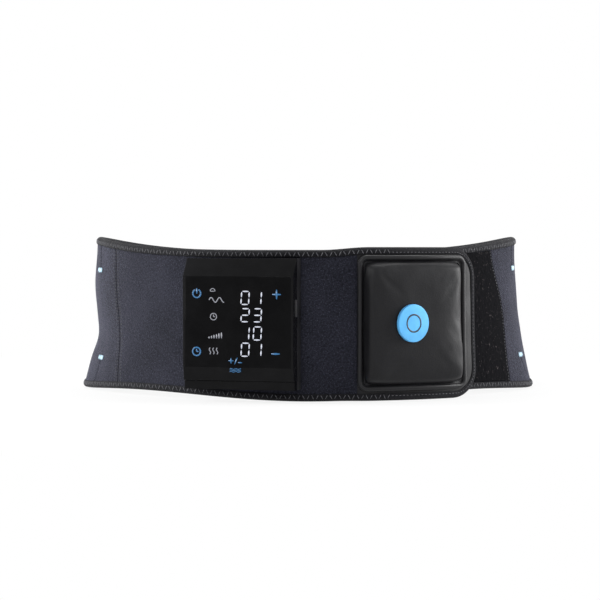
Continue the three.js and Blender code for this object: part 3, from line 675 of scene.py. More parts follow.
@dataclass
class Strap:
    """The belt itself: its outer fabric, linings, folded tape, stitches, patches and tacks."""

    loop: BeltLoop
    inset: float = 1.5 * MM
    shell: float = 2.6 * MM
    lining: float = 0.8 * MM
    lining_depth: float = 3.5 * MM
    tape_leg: float = 5.2 * MM
    tape_out: float = 0.9 * MM
    tape_thick: float = 0.55 * MM
    tape_joint: float = -64.0
    tack_angle: float = 72.0
    tack_length: float = 9 * MM
    tack_height: float = 3.4 * MM
    front_end: float = 14.0
    ripple: float = 0.5 * MM
    bulge: float = 2.4 * MM

    def __post_init__(self) -> None:
        """Lays out the seams and darts."""
        upper = self.loop.upper(self.tack_angle)
        tack = self.tack_angle
        self.tacks = {
            "left_upper_tack": (-71.3, upper - 23.5 * MM),
            "left_lower_tack": (-69.0, 25 * MM),
            "right_upper_tack": (tack + 1.5, upper - 22 * MM),
            "right_lower_tack": (tack + 1.5, 26.5 * MM),
        }
        left_top, left_low = self.tacks["left_upper_tack"], self.tacks["left_lower_tack"]
        right_top, right_low = self.tacks["right_upper_tack"], self.tacks["right_lower_tack"]
        self.seams = [
            Seam(left_seam, 0, 0.12, 0.5 * MM, 0.9 * MM),
            Seam(right_seam, 0, 0.12, 0.9 * MM, 1.0 * MM),
            Seam(lambda h: left_top[0] - 1.5 * (h - left_top[1]) / (20 * MM), left_top[1], 0.12),
            Seam(lambda h: left_low[0] - 2.0 * (left_low[1] - h) / (20 * MM), 0, left_low[1]),
            Seam(lambda h: right_top[0] - 0.8, right_top[1], 0.12),
            Seam(lambda h: right_low[0] + 8 * ((right_low[1] - h) / (26 * MM)) ** 1.5
                 if h < right_low[1] else right_low[0], 0, right_low[1]),
            Seam(lambda h: -112, 0, 0.12),
            Seam(lambda h: 112, 0, 0.12),
        ]

    def relief(self, angle: float, height: float) -> float:
        """Distance that the fabric's face stands off its plain surface."""
        turned = (angle + 180) % 360 - 180
        s = math.radians(turned) * self.loop.radius
        soft = noise.noise(Vector((s * 26, height * 20, 1.7)))
        soft += 0.45 * noise.noise(Vector((s * 70, height * 45, 5.1)))
        calm = 0.35 if -34 < turned < 2 else 1.0
        out = self.ripple * calm * soft
        if turned < 0:
            side = math.sin(math.radians(turned)) ** 6
            out += self.bulge * side * math.exp(-(((height - 80 * MM) / (20 * MM)) ** 2))
        for seam in self.seams:
            out -= seam.groove(self.loop, turned, height)
        return out

    def sheet(
        self,
        name: str,
        start: Callable[[float], float],
        end: Callable[[float], float],
        columns: int,
        rows: int,
        low: Callable[[float], float],
        high: Callable[[float], float],
        shift: Callable[[float], float],
        top: float,
        finish: Finish,
        relief: bool = False,
        inward: bool = False,
    ) -> bpy.types.Object:
        """Lays one layer of fabric round the loop.

        Args:
            name: the piece's name.
            start: angle of its first side at a height.
            end: angle of its last side at a height.
            columns: faces along the strap.
            rows: faces across it.
            low: height of its lower side at an angle.
            high: height of its upper side at an angle.
            shift: distance of its layer from the loop at an angle.
            top: the face's place among the layers.
            finish: its finish.
            relief: whether seams and soft waves show on it.
            inward: whether its face looks into the loop.

        Returns:
            The piece.
        """
        loop = self.loop

        def where(u: float, v: float) -> tuple[float, float]:
            middle = mix(start(50 * MM), end(50 * MM), u)
            height = mix(low(middle), high(middle), v)
            angle = mix(start(height), end(height), u)
            return angle, mix(low(angle), high(angle), v)

        def place(u: float, v: float) -> Vector:
            angle, height = where(1 - u if inward else u, v)
            out = shift(angle) + top
            if relief:
                out += self.relief(angle, height)
            return loop.point(angle, height, out)

        def metric(u: float, v: float) -> Vector:
            angle, height = where(u, v)
            return Vector((math.radians(angle) * loop.radius, height, 0))

        return Shape(name).grid(columns, rows, place, metric).finish(finish.material())

    def tape_section(self, share: float) -> tuple[float, float]:
        """Inward and outward place of the folded tape's face, round its section."""
        half = (self.tape_out + self.loop.layers + self.tape_out) / 2
        middle = self.tape_out - half
        if share < 0.3:
            return mix(self.tape_leg, half, share / 0.3), self.tape_out
        if share > 0.7:
            return mix(half, self.tape_leg, (share - 0.7) / 0.3), middle - half
        turn = (share - 0.3) / 0.4 * math.pi
        return half - half * math.sin(turn), middle + half * math.cos(turn)

    def tape_top(self, inward: float) -> float:
        """How far the tape's outer face stands out at a distance from the edge."""
        half = (self.tape_out + self.loop.layers + self.tape_out) / 2
        if inward >= half:
            return self.tape_out
        return self.tape_out - half + math.sqrt(max(0.0, half**2 - (half - inward) ** 2))

    def tape(self, name: str, steps: int, length: float, edge: Callable[[float, float, float], Vector]) -> bpy.types.Object:
        """Folds tape round an edge; edge gives a point at a share along, inwards and out."""

        def place(u: float, v: float) -> Vector:
            inward, out = self.tape_section(1 - v)
            if 1 - v < 0.3:
                out -= 0.25 * MM * (1 - smooth(0, 0.12, 1 - v))
            return edge(u, inward, out)

        def metric(u: float, v: float) -> Vector:
            return Vector((u * length, v * 16 * MM, 0))

        shape = Shape(name).grid(steps, 22, place, metric)
        return thicken(shape.finish(Finish.TAPE.material()), self.tape_thick)

    def zigzag(self, shape: Shape, count: int, edge: Callable[[float, float, float], Vector], span: tuple[float, float] = (0, 1)) -> None:
        """Sews slanted threads across the tape."""
        near, far = 1.7 * MM, 4.6 * MM
        for index in range(count):
            ends = []
            for step in (0, 1):
                share = mix(*span, (index + 0.5 * (step == (index % 2 == 0)) + 0.25) / count)
                inward = near if step else far
                ends.append(edge(share, inward, self.tape_top(inward) + 0.08 * MM))
            stitch(shape, ends[0], ends[1], 0.6 * MM)

    # the front strap with the flap's outline

    def front_edge(self, share: float, inward: float, out: float) -> Vector:
        """Point at the edge that runs from the left seam round the flap and back."""
        loop = self.loop
        corner = 22 * MM
        first = math.radians(self.tape_joint) * loop.radius
        last = math.radians(loop.flap_end) * loop.radius
        straight = last - corner - first
        arc = corner * math.pi / 2
        side = loop.flap_height - 2 * corner
        way = share * (2 * straight + 2 * arc + side)
        if way <= straight:
            s = first + way
            return self.on_front(s, loop.front_lower(self.angle(s)) + inward, out)
        way -= straight
        if way <= arc:
            turn = way / corner
            s = last - corner + (corner - inward) * math.sin(turn)
            return self.on_front(s, corner - (corner - inward) * math.cos(turn), out)
        way -= arc
        if way <= side:
            return self.on_front(last - inward, corner + way, out)
        way -= side
        if way <= arc:
            turn = way / corner
            s = last - corner + (corner - inward) * math.cos(turn)
            height = loop.flap_height - corner + (corner - inward) * math.sin(turn)
            return self.on_front(s, height, out)
        s = last - corner - (way - arc)
        return self.on_front(s, loop.front_upper(self.angle(s)) - inward, out)

    def angle(self, s: float) -> float:
        """Angle of a length along the strap from the front centre."""
        return self.loop.degrees(s)

    def on_front(self, s: float, height: float, out: float) -> Vector:
        """Point of the front strap or flap by length along it."""
        angle = self.angle(s)
        return self.loop.point(angle, height, self.loop.flap_shift(angle) + out)

    def back_edge(self, share: float, inward: float, out: float) -> Vector:
        """Point at the edge from the left seam behind the wearer, round the tail and back."""
        loop = self.loop
        start, finish = 360 + self.tape_joint, loop.tail_end
        run = math.radians(start - finish) * loop.radius
        corner = 6 * MM
        side = loop.upper(finish) - loop.lower(finish) - 2 * corner
        arc = corner * math.pi / 2
        way = share * (2 * run - 2 * corner + 2 * arc + side)
        run -= corner

        def at(angle: float, height: float) -> Vector:
            return loop.point(angle, height, loop.tail_shift(angle) + out)

        low, high = loop.lower(finish), loop.upper(finish)
        if way <= run:
            angle = start - loop.degrees(way)
            return at(angle, loop.upper(angle) - inward)
        way -= run
        if way <= arc:
            turn = way / corner
            back = corner - (corner - inward) * math.sin(turn)
            return at(finish + loop.degrees(back), high - corner + (corner - inward) * math.cos(turn))
        way -= arc
        if way <= side:
            return at(finish + loop.degrees(inward), high - corner - way)
        way -= side
        if way <= arc:
            turn = way / corner
            back = corner - (corner - inward) * math.cos(turn)
            return at(finish + loop.degrees(back), low + corner - (corner - inward) * math.sin(turn))
        way -= arc
        angle = finish + loop.degrees(corner + way)
        return at(angle, loop.lower(angle) + inward)

    def build(self) -> None:
        """Makes and dresses the strap."""
        self.build_fabric()
        self.build_tape()
        self.build_patches()
        self.build_tacks()

    def hinge_span(self) -> tuple[Vector, Vector]:
        """Two points on the strap, five degrees either side of the hinge line."""
        loop = self.loop
        return loop.point(loop.hinge - 5, 50 * MM, 0), loop.point(loop.hinge + 5, 50 * MM, 0)

    def build_fabric(self) -> None:
        """Lays the outer fabric and the linings."""
        loop = self.loop
        gap = self.inset

        def low(angle: float) -> float:
            return loop.lower(angle) + gap

        def high(angle: float) -> float:
            return loop.upper(angle) - gap

        def front_low(angle: float) -> float:
            return loop.front_lower(angle) + gap

        def front_high(angle: float) -> float:
            return loop.front_upper(angle) - gap

        start, end = self.hinge_span()
        front = self.sheet("front_fabric", left_seam, lambda h: self.front_end, 230, 56,
                           front_low, front_high, loop.flap_shift, 0.0, Finish.NEOPRENE, True)
        thicken(front, self.shell)
        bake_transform(front)
        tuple(start)
        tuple(end)
        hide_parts("front_panel")
        sides = {
            "left_side_fabric": (lambda h: -112.0, left_seam, 130, "left_side_panel"),
            "back_fabric": (lambda h: 112.0, lambda h: 248.0, 260, "back_panel"),
            "right_side_fabric": (right_seam, lambda h: 112.0, 130, "right_side_panel"),
            "tail_fabric": (lambda h: loop.tail_end + 0.6, right_seam, 110, "tail_panel"),
        }
        for name, (first, last, columns, node) in sides.items():
            piece = self.sheet(name, first, last, columns, 56, low, high, loop.tail_shift, 0.0,
                               Finish.NEOPRENE, True)
            thicken(piece, self.shell)
            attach(piece, "belt")
            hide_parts(node)
        self.build_linings(low, high, front_low, front_high)

    def build_linings(self, low: Callable, high: Callable, front_low: Callable, front_high: Callable) -> None:
        """Lays the smooth linings inside the strap."""
        loop = self.loop
        start, end = self.hinge_span()
        depth = -self.lining_depth - self.lining
        corner = 22 * MM

        def flap_rise(angle: float) -> float:
            past = math.radians(angle - loop.flap_end) * loop.radius + corner
            if past <= 0:
                return 0.0
            return corner - math.sqrt(max(0.0, corner**2 - min(past, corner) ** 2))

        front = self.sheet("front_lining_cloth", left_seam, lambda h: loop.flap_end - 0.5, 150, 24,
                           lambda a: front_low(a) + flap_rise(a),
                           lambda a: front_high(a) - flap_rise(a),
                           loop.flap_shift, depth, Finish.LINING, False, True)
        thicken(front, self.lining)
        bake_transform(front)
        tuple(start)
        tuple(end)
        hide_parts("front_lining", "flap_lining")
        back = self.sheet("back_lining_cloth", lambda h: loop.tail_end + 0.6,
                          lambda h: 360 + left_seam(h), 260, 24, low, high, loop.tail_shift,
                          depth, Finish.LINING, False, True)
        thicken(back, self.lining)
        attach(back, "belt")
        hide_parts("left_side_lining", "back_lining", "right_side_lining", "tail_lining")

    def build_tape(self) -> None:
        """Binds the edges and sews them."""
        start, end = self.hinge_span()
        front = self.tape("front_tape", 420, 0.78, self.front_edge)
        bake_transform(front)
        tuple(start)
        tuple(end)
        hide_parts("flap_binding")
        back = self.tape("back_tape", 900, 1.72, self.back_edge)
        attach(back, "belt")
        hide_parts("lower_binding", "upper_binding", "tail_end_binding")
        threads = Shape("front_tape_stitches")
        for first, last in ((0.0, 0.335), (0.665, 1.0)):
            self.zigzag(threads, 76, self.front_edge, (first, last))
        self.flap_dots(threads)
        front_threads = threads.finish(Finish.THREAD.material())
        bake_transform(front_threads)
        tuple(start)
        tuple(end)
        threads = Shape("back_tape_stitches")
        self.zigzag(threads, 500, self.back_edge)
        back_threads = threads.finish(Finish.THREAD.material())
        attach(back_threads, "belt")

    def flap_dots(self, threads: Shape) -> None:
        """Sews one straight row round the flap's free end."""
        first, last, count = 0.335, 0.665, 84
        inward = 3.6 * MM
        for index in range(count):
            ends = [
                self.front_edge(mix(first, last, (index + part) / count), inward, self.tape_out + 0.1 * MM)
                for part in (0.15, 0.75)
            ]
            stitch(threads, ends[0], ends[1], 0.45 * MM)

    def build_patches(self) -> None:
        """Lays the loop patch on the tail and the hook patch behind the flap."""
        loop = self.loop
        margin = 5.5 * MM
        patch = self.sheet("loop_pile_patch", lambda h: loop.tail_end + 2, lambda h: right_seam(h) - 0.25,
                           220, 120, lambda a: loop.lower(a) + margin, lambda a: loop.upper(a) - margin,
                           loop.tail_shift, 1.5 * MM, Finish.PILE)
        self.fuzz(patch)
        thicken(patch, 1.2 * MM)
        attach(patch, "belt")
        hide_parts("loop_patch")
        hooks = self.sheet("hook_weave_patch", lambda h: loop.tail_end + 3, lambda h: loop.flap_end - 4,
                           90, 60, lambda a: 22 * MM, lambda a: loop.flap_height - 22 * MM,
                           loop.flap_shift, -5.6 * MM, Finish.HOOKS, False, True)
        thicken(hooks, 0.9 * MM)
        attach(hooks, "flap")
        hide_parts("hook_patch")
        self.sew_seams()

    def fuzz(self, patch: bpy.types.Object) -> None:
        """Roughens the pile's face."""
        outwards = [vert.normal.copy() for vert in patch.data.vertices]
        for vert, normal in zip(patch.data.vertices, outwards):
            grain = noise.noise(vert.co * 700) + 0.6 * noise.noise(vert.co * 260)
            vert.co += normal * 0.3 * MM * grain

    def sew_seams(self) -> None:
        """Sews the cover stitches beside the seams."""
        loop = self.loop
        threads = Shape("seam_stitches")
        rows = [(left_seam, offset, 1) for offset in (-1.3, -0.45, 0.45, 1.3)]
        rows += [(right_seam, -0.9, 1)]
        for curve, offset, _ in rows:
            step, height = 2.3 * MM, 6.5 * MM
            while height < loop.upper(60) - 7 * MM:
                ends = []
                for part in (0.1, 0.8):
                    at = height + part * step
                    angle = curve(at) + offset
                    lift = 1.6 * MM if curve is right_seam else 0.12 * MM
                    out = loop.tail_shift(angle) + self.relief(angle, at) * (offset != -0.9) + lift
                    ends.append(loop.point(angle, at, out))
                stitch(threads, ends[0], ends[1], 0.36 * MM)
                height += step
        piece = threads.finish(Finish.THREAD.material())
        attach(piece, "belt")

    def build_tacks(self) -> None:
        """Sews the four bar tacks from close side by side threads."""
        loop = self.loop
        rungs = 11
        for name, (angle, height) in self.tacks.items():
            shape = Shape(name.replace("_tack", "_bar_tack"))
            half = loop.degrees(self.tack_length / 2)
            lift = 0.5 * MM
            for index in range(rungs):
                at = angle + half * (2 * index / (rungs - 1) - 1)
                slant = 0.25 * self.tack_height * (-1 if index % 2 else 1) * 0.3
                out = loop.tail_shift(at) + self.relief(at, height - 6 * MM) + lift
                ends = [
                    loop.point(at, height + side * self.tack_height / 2 + slant, out)
                    for side in (-1, 1)
                ]
                stitch(shape, ends[0], ends[1], 1.15 * MM)
            piece = shape.finish(Finish.TACK.material())
            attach(piece, "belt")
            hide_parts(name)


# ---------------------------------------------------------------- flap and pouch


@dataclass
class Pouch:
    """The flap's leather face and the padded pouch that holds the battery."""

    loop: BeltLoop
    angle: float = 26.5
    width: float = 84 * MM
    height: float = 95 * MM
    bottom: float = 7 * MM
    corner: float = 7 * MM
    piping: float = 1.9 * MM
    pad_inset: float = 3.9 * MM
    face_start: float = 11.8
    edge: float = 2.6 * MM
    front: float = 9.7 * MM
    badge_radius: float = 13.25 * MM
    badge_thick: float = 3 * MM
    badge_u: float = -6.4 * MM
    badge_tilt: float = 5.0
    badge_squeeze: float = 0.94

    def __post_init__(self) -> None:
        """Works out where the pouch sits."""
        self.along = math.radians(self.angle - self.loop.hinge) * self.loop.radius
        self.middle = self.bottom + self.height / 2

    def on_flap(self, along: float, height: float, out: float) -> Vector:
        """Point by length from the hinge line, height and distance out."""
        angle = self.loop.hinge + self.loop.degrees(along)
        return self.loop.point(angle, height, self.loop.flap_shift(angle) + out)

    def frame(self) -> Matrix:
        """The pouch's own frame: x across, -y outwards, z up, from its middle."""
        origin = self.on_flap(self.along, self.middle, 0)
        across = self.on_flap(self.along + MM, self.middle, 0) - self.on_flap(self.along - MM, self.middle, 0)
        turn = math.atan2(across.y, across.x)
        return Matrix.Translation(origin) @ Matrix.Rotation(turn, 4, "Z")

    def outline(self, share: float, inset: float) -> tuple[Vector, Vector]:
        """Point and inward direction on the pouch's rounded outline."""
        half_w, half_h = self.width / 2 - inset, self.height / 2 - inset
        corner = max(0.5 * MM, self.corner - inset)
        sides = [2 * (half_h - corner), 2 * (half_w - corner)] * 2
        arc = corner * math.pi / 2
        way = (share % 1.0) * (sum(sides) + 4 * arc)
        centres = [(1, -1), (1, 1), (-1, 1), (-1, -1)]
        for index, side in enumerate(sides):
            turn = index * math.pi / 2
            out = Vector((math.cos(turn), math.sin(turn)))
            ahead = Vector((-out.y, out.x))
            sx, sy = centres[index]
            start = Vector((sx * (half_w - corner), sy * (half_h - corner))) + out * corner
            if way <= side:
                return start + ahead * way, -out
            way -= side
            if way <= arc:
                lean = way / corner
                centre = start + ahead * side - out * corner
                radial = out * math.cos(lean) + ahead * math.sin(lean)
                return centre + radial * corner, -radial
            way -= arc
        return self.outline(0, inset)

    def build(self) -> None:
        """Makes and dresses the flap and pouch."""
        self.build_face()
        self.build_piping()
        self.build_cover()
        self.build_badge()

    def build_face(self) -> None:
        """Lays the leather face of the flap."""
        loop = self.loop
        corner = 22 * MM
        gap = 1.5 * MM
        end = loop.flap_end - loop.degrees(gap)

        def rise(angle: float) -> float:
            past = math.radians(angle - loop.flap_end) * loop.radius + corner
            if past <= 0:
                return gap
            radius = corner - gap
            return corner - math.sqrt(max(0.0, radius**2 - min(past, radius) ** 2))

        def where(u: float, v: float) -> tuple[float, float]:
            angle = mix(self.face_start, end, math.sin(u * math.pi / 2))
            low = rise(angle)
            return angle, mix(low, loop.flap_height - low, v)

        def place(u: float, v: float) -> Vector:
            angle, height = where(u, v)
            soft = noise.noise(Vector((angle * 0.12, height * 30, 9.0)))
            out = loop.flap_shift(angle) + 0.25 * MM + 0.35 * MM * soft
            return loop.point(angle, height, out)

        def metric(u: float, v: float) -> Vector:
            angle, height = where(u, v)
            return Vector((math.radians(angle) * loop.radius, height, 0))

        face = Shape("flap_leather").grid(150, 100, place, metric).finish(Finish.LEATHER.material())
        thicken(face, 2.6 * MM)
        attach(face, "flap")
        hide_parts("flap_panel")

    def build_piping(self) -> None:
        """Makes the rolled rim, with its sewn groove and stitches inside it."""
        radius = self.piping

        def ring(u: float, v: float) -> Vector:
            point, inward = self.outline(u, radius)
            turn = v * 2 * math.pi
            swell = radius * (1 + 0.03 * math.sin(u * 2 * math.pi * 9))
            flat = point - inward * swell * math.cos(turn)
            out = radius + 0.3 * MM + swell * math.sin(turn)
            return self.on_flap(self.along + flat.x, self.middle + flat.y, out)

        rim = Shape("pouch_rim").grid(360, 16, ring).weld().finish(Finish.PIPING.material())
        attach(rim, "flap")
        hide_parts("pouch_piping")

        def welt(u: float, v: float) -> Vector:
            point, inward = self.outline(u, mix(2.6 * radius / 2 + 0.6 * MM, 3.9 * MM + radius, v))
            out = mix(1.6, 0.9, v) * MM - 0.5 * MM * math.sin(math.pi * v) + 0.5 * MM
            return self.on_flap(self.along + point.x, self.middle + point.y, out)

        band = Shape("pouch_welt").grid(300, 8, welt)
        bmesh.ops.remove_doubles(band.bm, verts=band.bm.verts, dist=0.005 * MM)
        bmesh.ops.reverse_faces(band.bm, faces=band.bm.faces)
        band_piece = thicken(band.finish(Finish.LEATHER.material()), 0.8 * MM)
        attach(band_piece, "flap")
        threads = Shape("pouch_stitches")
        count = 118
        for index in range(count):
            ends = []
            for part in (0.15, 0.78):
                point, _ = self.outline((index + part) / count, 2 * radius + 0.9 * MM)
                ends.append(self.on_flap(self.along + point.x, self.middle + point.y, 1.45 * MM))
            stitch(threads, ends[0], ends[1], 0.42 * MM)
        piece = threads.finish(Finish.THREAD.material())
        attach(piece, "flap")

    def pad_point(self, x: float, y: float, z: float) -> Vector:
        """Place of a point of the padded cover from shares -1 to 1 across and 0 to 1 out."""
        half_w = self.width / 2 - self.pad_inset
        half_h = self.height / 2 - self.pad_inset
        pinch = 1 - 0.03 * abs(x * y) ** 5
        u, v = half_w * x * pinch, half_h * y * pinch
        if x > 0:
            u -= 2.2 * MM * x**3 * (1 + 0.6 * math.sin(2.6 * y + 0.9))
        side = (1 - abs(x) ** 8) ** 0.5
        end = (1 - abs(y) ** 9) ** 0.5
        radius = self.loop.radius
        level = self.front - 0.7 * MM + radius * (1 / math.cos(u / radius) - 1)
        top = self.edge + (level - self.edge) * side * end
        return self.on_flap(self.along + u, self.middle + v, mix(0.3 * MM, top, z))

    def build_cover(self) -> None:
        """Pads the pouch's cover: a closed form that is inflated, then capped and smoothed."""
        shape = Shape("pouch_pad")
        made = bmesh.ops.create_cube(shape.bm, size=1)
        bmesh.ops.subdivide_edges(shape.bm, edges=shape.bm.edges, cuts=23, use_grid_fill=True)
        del made
        shape.move(lambda co: self.pad_point(2 * co.x, 2 * co.y, co.z + 0.5))
        pad = shape.weld().finish(Finish.LEATHER.material())
        Padding(pin_below=0.6 * MM, cap=2.6 * MM).inflate(pad, self)
        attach(pad, "flap")
        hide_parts("pouch_cover")

    def build_badge(self) -> None:
        """Makes the round badge with a plain raised ring."""
        place = self.frame()
        back = self.front + 0.35 * MM
        centre = Vector((self.badge_u, -back - self.badge_thick / 2 + 0.3 * MM, 0))
        disc = Shape("badge_disc").disc(centre, self.badge_radius, self.badge_thick, 0.7 * MM)
        lean = Matrix.Translation(centre) @ Matrix.Rotation(math.radians(self.badge_tilt), 4, "Z")
        lean = lean @ Matrix.Diagonal((self.badge_squeeze, 1, 1, 1)) @ Matrix.Translation(-centre)
        disc.turn(place @ lean)
        piece = sharpen(disc.finish(Finish.BADGE.material()), 50)
        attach(piece, "flap")
        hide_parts("pouch_badge")
        ring = Shape("badge_mark")
        inner, outer = 5.4 * MM, 6.6 * MM
        face = centre.y - self.badge_thick / 2

        def band(u: float, v: float) -> Vector:
            turn = 2 * math.pi * u
            section = 2 * math.pi * v
            radius = (inner + outer) / 2 + (outer - inner) / 2 * math.cos(section)
            out = face - 0.28 * MM * math.sin(section)
            return Vector((centre.x + radius * math.sin(turn), out, radius * math.cos(turn)))

        ring.grid(96, 10, band).weld().turn(place @ lean)
        mark = ring.finish(Finish.BADGE_RING.material())
        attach(mark, "flap")


@dataclass(frozen=True)
class Padding:
    """Inflates a closed pad with a cloth simulation and applies the result."""

    pin_below: float
    cap: float
    voxel: float = 1.7 * MM
    pressure: float = 4.0
    frames: int = 20

    def inflate(self, pad: bpy.types.Object, pouch: Pouch) -> None:
        """Inflates the pad; its back stays where it is sewn down.

        Args:
            pad: the closed pad, replaced in place by the swollen one.
            pouch: gives the flap's surface, from which the sewn back is found.
        """
        bpy.context.view_layer.objects.active = pad
        remesh = pad.modifiers.new("even", "REMESH")
        remesh.mode = "VOXEL"
        remesh.voxel_size = self.voxel
        self.apply(pad)
        inverse = pouch.frame().inverted()
        rest = [v.co.copy() for v in pad.data.vertices]
        group = pad.vertex_groups.new(name="sewn")
        for vert in pad.data.vertices:
            local = inverse @ vert.co
            back = -(local.x**2) / (2 * pouch.loop.radius)
            depth = -local.y - back
            inset = pouch.pad_inset + 0.6 * MM
            rim = max(abs(local.x) / (pouch.width / 2 - inset), abs(local.z) / (pouch.height / 2 - inset))
            hold = 1.0 if depth < self.pin_below + 1.2 * MM or rim > 0.975 else 0.0
            group.add([vert.index], hold, "REPLACE")
        cloth = pad.modifiers.new("cloth", "CLOTH")
        cloth.settings.vertex_group_mass = "sewn"
        cloth.settings.use_pressure = True
        cloth.settings.uniform_pressure_force = self.pressure
        cloth.settings.effector_weights.gravity = 0
        cloth.settings.quality = 6
        cloth.settings.tension_stiffness = 8
        cloth.settings.compression_stiffness = 8
        cloth.settings.bending_stiffness = 0.6
        cloth.point_cache.frame_start = 1
        cloth.point_cache.frame_end = self.frames
        scene = bpy.context.scene
        for number in range(1, self.frames + 1):
            scene.frame_set(number)
        shape = pad.evaluated_get(bpy.context.evaluated_depsgraph_get()).data
        moved = [v.co.copy() for v in shape.vertices]
        pad.modifiers.remove(cloth)
        scene.frame_set(1)
        for vert, start, end in zip(pad.data.vertices, rest, moved):
            step = end - start
            if step.length > self.cap:
                step *= self.cap / step.length
            vert.co = start + step
        self.subdivide(pad)

    def subdivide(self, pad: bpy.types.Object) -> None:
        """Smooths the pad and adds one subdivision."""
        bm = bmesh.new()
        bm.from_mesh(pad.data)
        for _ in range(3):
            bmesh.ops.smooth_vert(bm, verts=bm.verts, factor=0.5, use_axis_x=True, use_axis_y=True, use_axis_z=True)
        bm.to_mesh(pad.data)
        bm.free()
        for polygon in pad.data.polygons:
            polygon.use_smooth = True
        finer = pad.modifiers.new("finer", "SUBSURF")
        finer.levels = finer.render_levels = 1

    @staticmethod
    def apply(piece: bpy.types.Object) -> None:
        """Applies every modifier to the mesh."""
        graph = bpy.context.evaluated_depsgraph_get()
        mesh = bpy.data.meshes.new_from_object(piece.evaluated_get(graph))
        piece.modifiers.clear()
        piece.data = mesh


# ---------------------------------------------------------------- the control unit


SEGMENTS = {
    "0": "abcdef",
    "1": "bc",
    "2": "abdeg",
    "3": "abcdg",
}


